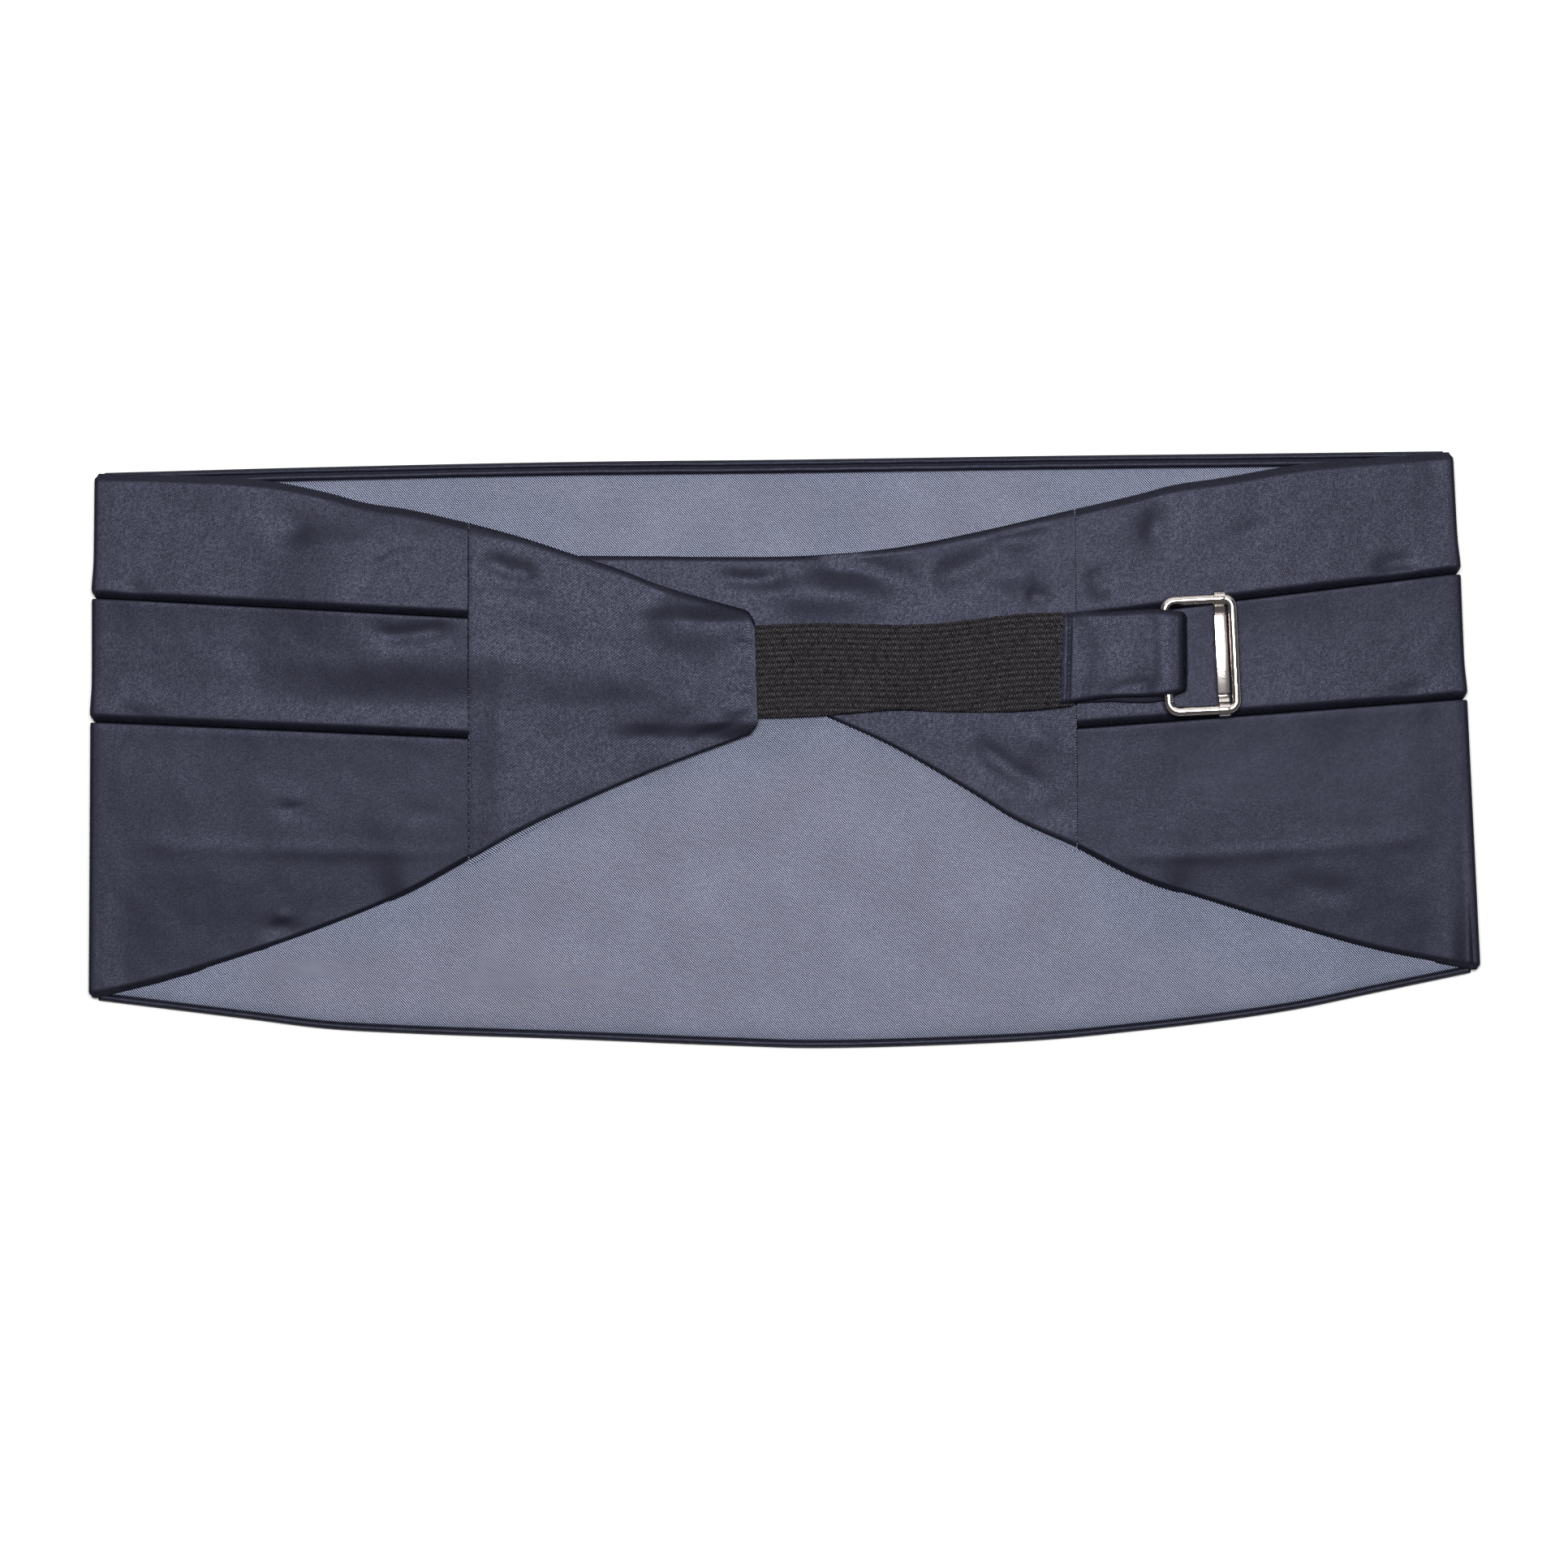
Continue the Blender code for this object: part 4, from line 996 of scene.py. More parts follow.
@dataclass
class BackPieces:
    """The two satin back pieces, with the twill of their undersides where it peeps out."""

    wall: float = 1.1
    left_top: Rows = ((-81.9, 58.6), (-68.7, 55), (-54, 50.2), (-43.5, 46.8), (-32.8, 42.6), (-22, 39.3),
                      (-10.3, 36.1))
    left_bottom: Rows = ((-81.9, -28.8), (-68.7, -21.2), (-56, -15), (-35, -5.7), (-14, 2.4), (-8.8, 4.4))
    tip: tuple[tuple[Row, Row], ...] = (((-9.4, 35.5), (-8.2, 4.75)), ((-8.6, 34.3), (-7.6, 5.3)),
                                        ((-7.9, 33.1), (-7.2, 6.3)), ((-7.8, 32.6), (-7.0, 6.9)))
    right_top: Rows = ((-110.5, 50.2), (-35, 50), (-14, 49.8), (7, 50.2), (28, 52.1), (49, 56.1), (75.2, 62.2))
    right_bottom: Rows = ((-110.5, 25.8), (-50, 25.6), (-30, 24.4), (-12, 18.4), (11, 8.4), (28, 0.6),
                          (49, -11.6), (59.4, -18.1), (75.8, -25.5))
    strap_end: Rows = ((0.0, 5.0), (0.7, 3.6), (1.6, 2.6), (2.8, 1.5), (4.2, 0.8))
    # The rims' tables say how far the rim comes out at each place.
    left_rim: Rows = ((-86, -0.6), (-82, 1.3), (-74, 1.9), (-65, 1.5), (-57, 0.8), (-50, -0.6))
    right_rim: Rows = ((58, -0.6), (64, 0.6), (70, 1.0), (77, 1.1), (82, 0.5), (86, -0.6))
    rim_wall: float = 0.22
    rim_z: float = 2.74
    rim_inside: float = 1.6
    rim_roll: Row = (0.12, 0.5)
    rim_waver: Row = (0.12, 2.3)  # how far its edge wavers, and over what length
    rim_seed: Row = (4.4, 0.5)
    left_roll: Row = (0.9, 1.7)  # at the upper edge, as in ClothPanel
    right_roll: Row = (0.9, 1.5)
    lower_roll: Row = (0.25, 0.7)
    left_size: tuple[int, int] = (88, 70)  # columns and rows
    right_size: tuple[int, int] = (190, 60)
    rim_size: tuple[int, int] = (90, 6)
    right_ends: Row = (74.9, 75.5)  # of its upper and its lower edge, at the seam

    def build_left(self, finish: Material) -> Piece:
        """Builds the back piece that tapers from the left seam to the blunt tip holding the elastic.

        Args:
            finish: the satin.

        Returns:
            The piece.
        """
        start, end = LAYERS.left_seam_x + GAP, self.left_top[-1][0]
        xs = np.linspace(start, end, self.left_size[0])
        lean = (self.left_bottom[-1][0] - end) * (xs - start) / (end - start)
        uppers = edge_points(xs, through(self.left_top))
        lowers = np.stack([xs + lean, through(self.left_bottom)(xs)], 1)
        uppers = np.concatenate([uppers, [upper for upper, _ in self.tip]])
        lowers = np.concatenate([lowers, [lower for _, lower in self.tip]])
        panel = ClothPanel("left_back", self.left_size[1], self.wall, LAYERS.left_back_under, LEFT_BACK_RELIEF,
                           self.left_roll, self.lower_roll)
        return settle(panel.build(uppers, lowers), finish, "back_piece_left")

    def build_right(self, finish: Material) -> Piece:
        """Builds the back piece that tapers from the right seam to the strap under the left one.

        Args:
            finish: the satin.

        Returns:
            The piece.
        """
        top, bottom = through(self.right_top), through(self.right_bottom)
        end_x, high, low = self.right_top[0][0], self.right_top[0][1], self.right_bottom[0][1]
        start = end_x + 2 * self.strap_end[-1][0]
        edges = []
        for edge_y, side, end, curve in zip((high, low), (-1, 1), self.right_ends, (top, bottom)):
            corner = [(end_x + inwards, edge_y + side * cut) for inwards, cut in self.strap_end]
            xs = np.linspace(start, end, self.right_size[0])
            edges.append(np.concatenate([corner, edge_points(xs, curve)]))
        panel = ClothPanel("right_back", self.right_size[1], self.wall, level(LAYERS.wing_z), RIGHT_BACK_RELIEF,
                           self.right_roll, self.lower_roll)
        return settle(panel.build(*edges), finish, "back_piece_right")

    def build_rims(self, finish: Material) -> list[Piece]:
        """Builds the rims of the back pieces' own linings, where they peep out under the lower edges.

        Args:
            finish: the twill.

        Returns:
            The two pieces.
        """
        made = []
        for name, edge, shows in (("left_rim", self.left_bottom, self.left_rim),
                                  ("right_rim", self.right_bottom, self.right_rim)):
            xs = np.linspace(shows[0][0], shows[-1][0], self.rim_size[0])
            line, out = through(edge), through(shows)
            height, length = self.rim_waver
            waver = np.array([height * noise.noise(Vector((x / length, *self.rim_seed))) for x in xs])
            uppers = edge_points(xs, line) + [0, self.rim_inside]
            lowers = np.stack([xs, line(xs) - out(xs) - waver], 1)
            panel = ClothPanel(name, self.rim_size[1], self.rim_wall, level(self.rim_z), edge_round=0.1,
                               under_rows=2, upper_roll=(0.0, 1.0), lower_roll=self.rim_roll)
            made.append(settle(panel.build(uppers, lowers), finish))
        return made


LEFT_BACK_RELIEF = (
    Slackness(0.24, 15.0, 21.3),
    Slackness(0.08, 5.5, 24.3),
    Crease(((-81.7, 62), (-81.7, -32)), -0.08, 0.3, 0.0),
    Crease(((-38, 45.0), (-22.5, 40.3), (-8, 36.0)), -0.5, 6.0, 0.3),
    Crease(((-36, 37.5), (-24, 33.0), (-10, 29.0)), 0.95, 6.5, 0.35),
    Crease(((-24, 3.6), (-16, 5.4), (-9.5, 7.4)), -0.23, 1.3, 0.3),
    Crease(((-17, 9.2), (-12, 10.4), (-8.4, 11.4)), 0.19, 1.3, 0.3),
    Crease(((-13, 27.5), (-8.4, 26.8)), -0.19, 1.0, 0.3),
    Crease(((-14, 19), (-8.2, 18.5)), -0.14, 1.2, 0.3),
    Crease(((-12, 13.8), (-8.0, 14.2)), -0.16, 1.0, 0.3),
    Crease(((-80, 49.5), (-72, 46.5), (-62, 44.5)), -0.68, 2.6, 0.3),
    Crease(((-79, 41.5), (-70, 39), (-60, 38.5)), -0.36, 2.6, 0.3),
    Swell((-66, 30), (10, 5), -0.4, -15),
    Swell((-45, 18), (14, 6), 0.43, 10),
    Swell((-30, 6), (8, 3.5), -0.45, 18),
)
RIGHT_BACK_RELIEF = (
    Slackness(0.24, 15.0, 33.9),
    Slackness(0.08, 5.5, 38.9),
    Crease(((75.3, 64), (75.9, -28)), -0.08, 0.3, 0.0),
    Crease(((-8, 41.0), (6, 40.5), (18, 39.5), (28, 37.5)), 0.75, 4.4, 0.35),
    Crease(((2, 48.5), (18, 47.5), (30, 44.0), (38, 40.5)), -0.95, 4.6, 0.3),
    Crease(((36, 43.5), (48, 47), (58, 49)), -0.85, 4.0, 0.35),
    Crease(((-20, 44.5), (-6, 43.5), (4, 45)), -0.54, 2.4, 0.3),
    Crease(((46, 47.5), (57, 45), (68, 46.5)), 0.54, 3.4, 0.3),
    Crease(((52, 53.5), (62, 54), (71, 56.5)), -0.54, 2.4, 0.3),
    Crease(((62, 40), (70, 38.5)), -0.54, 2.2, 0.3),
    Swell((66, 3), (6, 4), 0.54, -30),
    Crease(((48, 3), (58, -5), (70, -12)), -0.54, 2.8, 0.3),
    Swell((70, -17), (5, 3), -0.32, -25),
)


# ---------------------------------------------------------------- elastic

@dataclass
class Elastic:
    """The knitted elastic between the left tip and the tab, its loops in the mesh."""

    ends_x: Row = (-11.5, 74.6)
    top: Rows = ((-12, 31.8), (7, 32.6), (36, 32.3), (60.5, 34.9), (75, 35.4))
    bottom: Rows = ((-12, 7.8), (7, 8.4), (28, 10), (44, 9.5), (60.5, 9.7), (75, 11.2))
    wall: float = 1.2
    loop_length: float = 0.64
    loop_width: float = 1.5
    loop_depth: float = 0.13
    loop_middle: float = 0.6  # how far the loops sink into the wall, as a share of their depth
    row_depth: float = 0.05
    edge_roll: Row = (0.25, 0.9)
    columns: int = 412
    rows: int = 96

    def loops(self, along: Array, across: Array) -> Array:
        """The height of the knit's loops over the elastic's face."""
        lattice = np.cos(math.tau * along / self.loop_length) * np.cos(math.tau * across / self.loop_width)
        rows = np.cos(math.tau * across / (self.loop_width / 2))
        return self.loop_depth * (lattice - self.loop_middle) + self.row_depth * rows

    def build(self, finish: Material) -> Piece:
        """Builds the elastic.

        Args:
            finish: the knit.

        Returns:
            The piece.
        """
        xs = np.linspace(*self.ends_x, self.columns)
        panel = ClothPanel("knit_elastic", self.rows, self.wall, LAYERS.elastic_under, ELASTIC_RELIEF,
                           self.edge_roll, self.edge_roll, under_rows=10)
        made = panel.build(edge_points(xs, through(self.top)), edge_points(xs, through(self.bottom)), self.loops)
        return settle(made, finish, "elastic")


ELASTIC_RELIEF = (
    Slackness(0.1, 14.0, 45.1),
    Crease(((58, 12), (66, 30)), 0.25, 3.0, 0.2),
)


# ---------------------------------------------------------------- tab and stitches

@dataclass
class FoldedTab:
    """The satin tab: a strip sewn on the elastic's end and folded round the buckle's bar."""

    wall: float = 1.0
    inner_z: float = 6.2
    fold_x: float = 103.8
    fold_radius: float = 1.7
    start_x: float = 72.6
    top: Rows = ((71.8, 35.3), (85, 35.7), (96, 36.1), (104, 35.2))
    bottom: Rows = ((71, 11.4), (83, 13.2), (98, 13.9), (104, 15.2))
    under_bottom: Rows = ((71, 11.6), (83, 12.2), (97.4, 12.4), (104, 15.2))
    face: Rows = ((71, 1.8), (75.5, 1.8), (81, 1.5), (88, 1.7), (93, 2.3), (96.3, 3.0), (98.5, 3.25),
                  (100.4, 3.2), (101.4, 3.1), (102.3, 2.75))
    lean: float = -0.8
    lean_length: float = 8.0
    upper_roll: Row = (0.85, 1.7)
    lower_roll: Row = (0.45, 1.0)
    roll_power: float = 1.9
    edge_inset: float = 0.016  # of the rounding, as a share of the width
    end_falls: tuple[float, ...] = (0.45, 0.3, 0.18)  # how far the sewn end's last stations sink
    across_outer: int = 44
    across_inner: int = 12
    under_stations: int = 20
    fold_stations: int = 15
    face_stations: int = 90
    face_spread: float = 1.15  # over 1, they lie closer together near the fold
    slope_step: float = 0.1

    def stations(self) -> Array:
        """The inner face from its hidden lower end round the fold and over to the seam.

        Returns:
            Rows of x, z, and the x and z of the way to the outer side.
        """
        radius = self.fold_radius - self.wall
        centre_x, centre_z = self.fold_x - self.fold_radius, self.inner_z + radius
        rows = [(mix(self.start_x, centre_x, i / self.under_stations), self.inner_z, 0.0, -1.0)
                for i in range(self.under_stations)]
        rows += [(centre_x + radius * math.cos(a), centre_z + radius * math.sin(a), math.cos(a), math.sin(a))
                 for a in np.radians(np.linspace(-90, 60, self.fold_stations))]
        height = through(self.face)
        for share in np.linspace(0, 1, self.face_stations) ** self.face_spread:
            x = mix(centre_x, self.top[0][0], share)
            slope = float(height(x + self.slope_step) - height(x - self.slope_step)) / (2 * self.slope_step)
            length = math.hypot(1, slope)
            rows.append((x, self.inner_z + float(height(x)), -slope / length, 1 / length))
        return np.array(rows)

    def outer_z(self, x: Array) -> Array:
        """The height of the upper layer's outer face before its relief."""
        return self.inner_z + through(self.face)(x) + self.wall

    def build(self, finish: Material) -> Piece:
        """Builds the tab.

        Args:
            finish: the satin.

        Returns:
            The piece.
        """
        stations = self.stations()
        top, bottom, under = through(self.top), through(self.bottom), through(self.under_bottom)
        run = lengths_along(stations[:, :2])
        shares, heights = rounded_ring(self.edge_inset, self.across_inner, self.across_outer)
        rings, cloth = [], []
        for i, ((x, z, out_x, out_z), along) in enumerate(zip(stations, run)):
            is_under = out_z < 0
            lower_y = float((under if is_under else bottom)(x))
            upper_y = float(top(x))
            lean = 0.0 if is_under else self.lean * max(0.0, 1 - (x - self.top[0][0]) / self.lean_length)
            y = upper_y + (lower_y - upper_y) * shares
            xs = x + lean * shares
            shape = -rolled((self.upper_roll, self.lower_roll), (upper_y - y, y - lower_y), self.roll_power)
            if not is_under:
                shape = shape + relief(TAB_RELIEF, xs, y)
            to_end = len(stations) - 1 - i
            if to_end < len(self.end_falls):
                shape = shape - self.end_falls[to_end]
            rise = heights * (self.wall + np.where(heights > OUTER_FROM, shape, 0))
            rings.append(np.stack([xs + out_x * rise, y, z + out_z * rise], 1))
            cloth.append(np.stack([along + 0 * y, upper_y - y], 1))
        return settle(wall_mesh("satin_tab", np.array(rings), np.array(cloth)), finish, "buckle_tab")


TAB_RELIEF = (
    Slackness(0.16, 8.0, 51.3),
    Crease(((73.5, 36), (72.9, 10)), -0.42, 0.5, 0.0),
    Swell((77.5, 25), (3.4, 7.5), 0.3, 0),
    Swell((76.5, 34), (3.5, 2.0), -0.35, -10),
    Crease(((80, 13.8), (90, 16.4), (98, 17.4)), -0.22, 1.6, 0.3),
    Swell((92, 27), (6, 5), 0.16, 20),
    Crease(((95.4, 34.5), (95.2, 16)), -0.14, 1.4, 0.2),
)


@dataclass(frozen=True)
class StitchRow:
    """A row of stitches, or of loose fibres."""

    start: Row
    end: Row
    height: Curve  # of the cloth at places x, y
    pitch: float  # from one stitch to the next
    wander: float  # how unevenly they are set
    seed: int
    across: float = 0.0  # how far each is turned from the row's line, in radians

    def places(self) -> list[Array]:
        """Where the stitches lie.

        Returns:
            One 4 by 4 placing matrix a stitch, in millimetres.
        """
        chance = np.random.default_rng(self.seed)
        count = max(1, round(math.dist(self.start, self.end) / self.pitch))
        heading = math.atan2(self.end[1] - self.start[1], self.end[0] - self.start[0])
        found = []
        for i in range(count):
            x, y = (mix(a, b, (i + 0.5) / count) + chance.normal(0, self.wander)
                    for a, b in zip(self.start, self.end))
            z = float(self.height(np.array(x), np.array(y)))
            turned = Matrix.Rotation(heading + self.across + chance.normal(0, self.wander), 4, "Z")
            found.append(np.array(Matrix.Translation((x, y, z)) @ turned))
        return found


@dataclass
class Stitching:
    """Stitches of one size: a small thread loop, copied along rows."""

    length: float = 1.0
    thickness: float = 0.3

    def loop(self) -> tuple[Array, list[tuple[int, ...]]]:
        """One stitch about the origin, lying along X.

        Returns:
            Its points and its faces.
        """
        bpy.ops.object.select_all(action="DESELECT")
        bpy.ops.mesh.primitive_uv_sphere_add(segments=8, ring_count=6, radius=0.5)
        ball = bpy.context.object
        points = np.array([corner.co for corner in ball.data.vertices])
        faces = [tuple(face.vertices) for face in ball.data.polygons]
        bpy.data.objects.remove(ball)
        return points * (self.length, self.thickness, self.thickness), faces

    def build(self, name: str, rows: Sequence[StitchRow], finish: Material,
              slot: str) -> Piece:
        """Builds all stitches of a piece.

        Args:
            name: the piece's name.
            rows: where the stitches go.
            finish: the thread.
            slot: not used.

        Returns:
            The piece.
        """
        points, faces = self.loop()
        places = [place for row in rows for place in row.places()]
        corners = np.concatenate([points @ place[:3, :3].T + place[:3, 3] for place in places])
        all_faces = [tuple(index + k * len(points) for index in face)
                     for k in range(len(places)) for face in faces]
        mesh = bpy.data.meshes.new(name)
        mesh.from_pydata((corners * MM).tolist(), [], all_faces)
        mesh.shade_smooth()
        return settle(add_object(name, mesh), finish)


# ---------------------------------------------------------------- buckle

@dataclass(frozen=True)
class Corner:
    """The bend of the frame's two corners at one end."""

    side: int  # -1 at the bar in the tab, 1 at the far bar
    radius: float


@dataclass
class Buckle:
    """The wire frame and the flat bar that clasps its long wires."""

    wire_radius: float = 1.33
    length: float = 28.6  # across the waist, between the long wires' middles
    width: float = 17.5  # along the waist, between the bars' middles
    corners: tuple[Corner, ...] = (Corner(-1, 2.7), Corner(1, 2.3))
    turn: float = math.radians(2.8)
    centre: tuple[float, float, float] = (107.2, 24.2, 7.85)
    slider_from_bar: float = 14.25
    slider_width: float = 2.95
    neck_width: float = 2.6
    neck_thickness: float = 1.0
    neck_length: float = 3.4
    neck_y: float = 12.0
    neck_slope: float = 0.5  # how far its upper face rises and falls along it
    face_length: float = 21.8
    face_slope: float = 0.9  # length of the slope at each end of the face
    face_z: Row = (-0.6, 1.1)
    clasp_radius: float = 2.1
    clasp_width: float = 2.7
    clasp_bore: float = 1.65
    edge_width: float = 0.28  # of the slider's rounded edges

    def set_in_place(self, made: Piece) -> None:
        """Turns and moves a piece that was made about the frame's middle, and takes its place into its mesh."""
        place = Matrix.Translation(Vector(self.centre) * MM) @ Matrix.Rotation(self.turn, 4, "Z")
        made.matrix_world = place @ made.matrix_world
        place_in_mesh(made)

    def build_frame(self, finish: Material) -> Piece:
        """Builds the frame: a rectangle with rounded corners, turned into a line and given the wire's round.

        Args:
            finish: the metal.

        Returns:
            The piece.
        """
        bpy.ops.object.select_all(action="DESELECT")
        bpy.ops.mesh.primitive_plane_add(size=1)
        made = bpy.context.object
        made.name = made.data.name = "wire_frame"
        made.scale = (self.width * MM, self.length * MM, 1)
        place_in_mesh(made)
        bpy.ops.object.mode_set(mode="EDIT")
        bpy.ops.mesh.select_all(action="SELECT")
        bpy.ops.mesh.delete(type="ONLY_FACE")
        for corner in self.corners:
            bpy.ops.mesh.select_all(action="DESELECT")
            bpy.ops.object.mode_set(mode="OBJECT")
            for point in made.data.vertices:
                point.select = point.co.x * corner.side > 0
            bpy.ops.object.mode_set(mode="EDIT")
            bpy.ops.mesh.bevel(offset=corner.radius * MM, segments=9, affect="VERTICES")
        bpy.ops.object.mode_set(mode="OBJECT")
        bpy.ops.object.convert(target="CURVE")
        made = bpy.context.object
        made.data.bevel_depth = self.wire_radius * MM
        made.data.bevel_resolution = 6
        bpy.ops.object.convert(target="MESH")
        made = bpy.context.object
        self.set_in_place(made)
        bpy.ops.object.mode_set(mode="EDIT")
        bpy.ops.mesh.select_all(action="SELECT")
        bpy.ops.mesh.remove_doubles(threshold=0.00001)
        bpy.ops.mesh.normals_make_consistent(inside=False)
        bpy.ops.object.mode_set(mode="OBJECT")
        made.data.shade_smooth()
        return settle(made, finish, "buckle_frame", "buckle")

    def round_bar(self, radius: float, depth: float, y: float) -> Piece:
        """A round bar along X at a place across the frame.

        Args:
            radius: its radius.
            depth: its length.
            y: its place across the frame.

        Returns:
            The bar.
        """
        bpy.ops.object.select_all(action="DESELECT")
        bpy.ops.mesh.primitive_cylinder_add(
            vertices=48, radius=radius * MM, depth=depth * MM, rotation=(0, math.pi / 2, 0),
            location=((self.slider_from_bar - self.width / 2) * MM, y * MM, 0))
        return bpy.context.object

    def block(self, size: tuple[float, float, float], y: float, z: float, name: str) -> Piece:
        """A block at the slider's place.

        Args:
            size: its size along, across and up.
            y: its middle's place across the frame.
            z: its middle's height over the wires' middles.
            name: its name.

        Returns:
            The block.
        """
        bpy.ops.object.select_all(action="DESELECT")
        x = self.slider_from_bar - self.width / 2
        bpy.ops.mesh.primitive_cube_add(size=1, location=(x * MM, y * MM, z * MM))
        made = bpy.context.object
        made.name = made.data.name = name
        made.scale = tuple(length * MM for length in size)
        place_in_mesh(made)
        return made

    def build_slider(self, finish: Material) -> Piece:
        """Builds the flat bar and its two clasps, bored for the wires, with its edges rounded.

        Args:
            finish: the metal.

        Returns:
            The piece.
        """
        low, high = self.face_z
        size = (self.slider_width, self.face_length, high - low)
        made = self.block(size, 0.0, (high + low) / 2, "flat_slider")
        for point in made.data.vertices:
            if point.co.z > 0:
                point.co.y *= 1 - 2 * self.face_slope / self.face_length
        for side in (-1, 1):
            size = (self.neck_width, self.neck_length, self.neck_thickness)
            neck = self.block(size, side * self.neck_y, 0.0, "neck")
            for point in neck.data.vertices:
                if point.co.z > 0:
                    point.co.z += self.neck_slope * MM * (1 if abs(point.co.y) > self.neck_y * MM else -1)
            join(made, neck, "UNION")
        for y in (-self.length / 2, self.length / 2):
            join(made, self.round_bar(self.clasp_radius, self.clasp_width, y), "UNION")
            join(made, self.round_bar(self.clasp_bore, 2 * self.slider_width, y), "DIFFERENCE")
        apply_modifier(made, "BEVEL", width=self.edge_width * MM, segments=3, limit_method="ANGLE",
                       angle_limit=math.radians(35), harden_normals=False)
        self.set_in_place(made)
        select_only(made)
        bpy.ops.object.shade_smooth_by_angle(angle=math.radians(40))
        return settle(made, finish, "slider_bar", "slider")


# ---------------------------------------------------------------- finishes

class Shading:
    """A material's node tree with short ways to add nodes to it."""

    def __init__(self, name: str) -> None:
        """Makes a material of that name with a Principled shader."""
        self.material = bpy.data.materials.new(name)
        self.material.use_nodes = True
        self.tree = self.material.node_tree
        self.shader = self.tree.nodes["Principled BSDF"]

    def node(self, kind: str, inputs: dict | None = None, **values: object) -> bpy.types.Node:
        """A new node.

        Args:
            kind: its type.
            inputs: values or sockets for its inputs, by name or number.
            values: its settings.

        Returns:
            The node.
        """
        return add_node(self.tree, kind, inputs, **values)

    def scaled(self, place: Socket, factors: Colour) -> Socket:
        """A place with each of its axes multiplied by a factor."""
        return self.node("ShaderNodeVectorMath", {0: place, 1: factors}, operation="MULTIPLY").outputs[0]

    def place_on_cloth(self) -> Socket:
        """The place on the cloth as cut, in millimetres."""
        return self.scaled(self.node("ShaderNodeUVMap", uv_map=CLOTH_UV).outputs[0], (1 / MM,) * 3)

    def place_on_object(self) -> Socket:
        """The place on the object, in millimetres."""
        return self.scaled(self.node("ShaderNodeTexCoord").outputs["Object"], (1 / MM,) * 3)

    def noise(self, place: Socket, scale: float, detail: float) -> Socket:
        """Soft noise about 0.5 at a place."""
        return self.node("ShaderNodeTexNoise", {"Vector": place, "Scale": scale, "Detail": detail}).outputs[0]

    def cells(self, place: Socket, counts: Colour) -> Socket:
        """A value from 0 to 1 that jumps from one small cell to the next; counts says how many a millimetre."""
        corner = self.node("ShaderNodeVectorMath", {0: self.scaled(place, counts)}, operation="FLOOR").outputs[0]
        return self.node("ShaderNodeTexWhiteNoise", {"Vector": corner}, noise_dimensions="2D").outputs[0]

    def blend(self, share: object, dark: Colour, light: Colour) -> Socket:
        """The colour that lies share of the way from dark to light."""
        return self.node("ShaderNodeMix", {0: share, 6: (*dark, 1), 7: (*light, 1)}, data_type="RGBA").outputs[2]

    def math(self, operation: str, *terms: object, **values: object) -> Socket:
        """The result of a sum on values or sockets."""
        return self.node("ShaderNodeMath", dict(enumerate(terms)), operation=operation, **values).outputs[0]

    def bump(self, height: object, distance: float, strength: float) -> None:
        """Feeds a height, in shares of a distance in millimetres, to the shader's normal."""
        made = self.node("ShaderNodeBump", {"Height": height, "Distance": distance * MM, "Strength": strength})
        self.tree.links.new(made.outputs[0], self.shader.inputs["Normal"])

    def feed(self, **sockets: object) -> None:
        """Feeds sockets or sets values on the shader's inputs; underscores stand for spaces."""
        for name, value in sockets.items():
            put(self.tree, self.shader.inputs[name.replace("_", " ")], value)


def put(tree: bpy.types.NodeTree, socket: Socket, value: object) -> None:
    """Links a socket to an input, or sets the input's own value."""
    if isinstance(value, Socket):
        tree.links.new(value, socket)
    else:
        socket.default_value = value


def add_node(tree: bpy.types.NodeTree, kind: str, inputs: dict | None = None,
             **values: object) -> bpy.types.Node:
    """A new node in a tree, with its settings and its inputs' values or links.

    Args:
        tree: where it goes.
        kind: its type.
        inputs: values or sockets for its inputs, by name or number.
        values: its settings.

    Returns:
        The node.
    """
    made = tree.nodes.new(kind)
    for key, value in values.items():
        setattr(made, key, value)
    for key, value in (inputs or {}).items():
        put(tree, made.inputs[key], value)
    return made


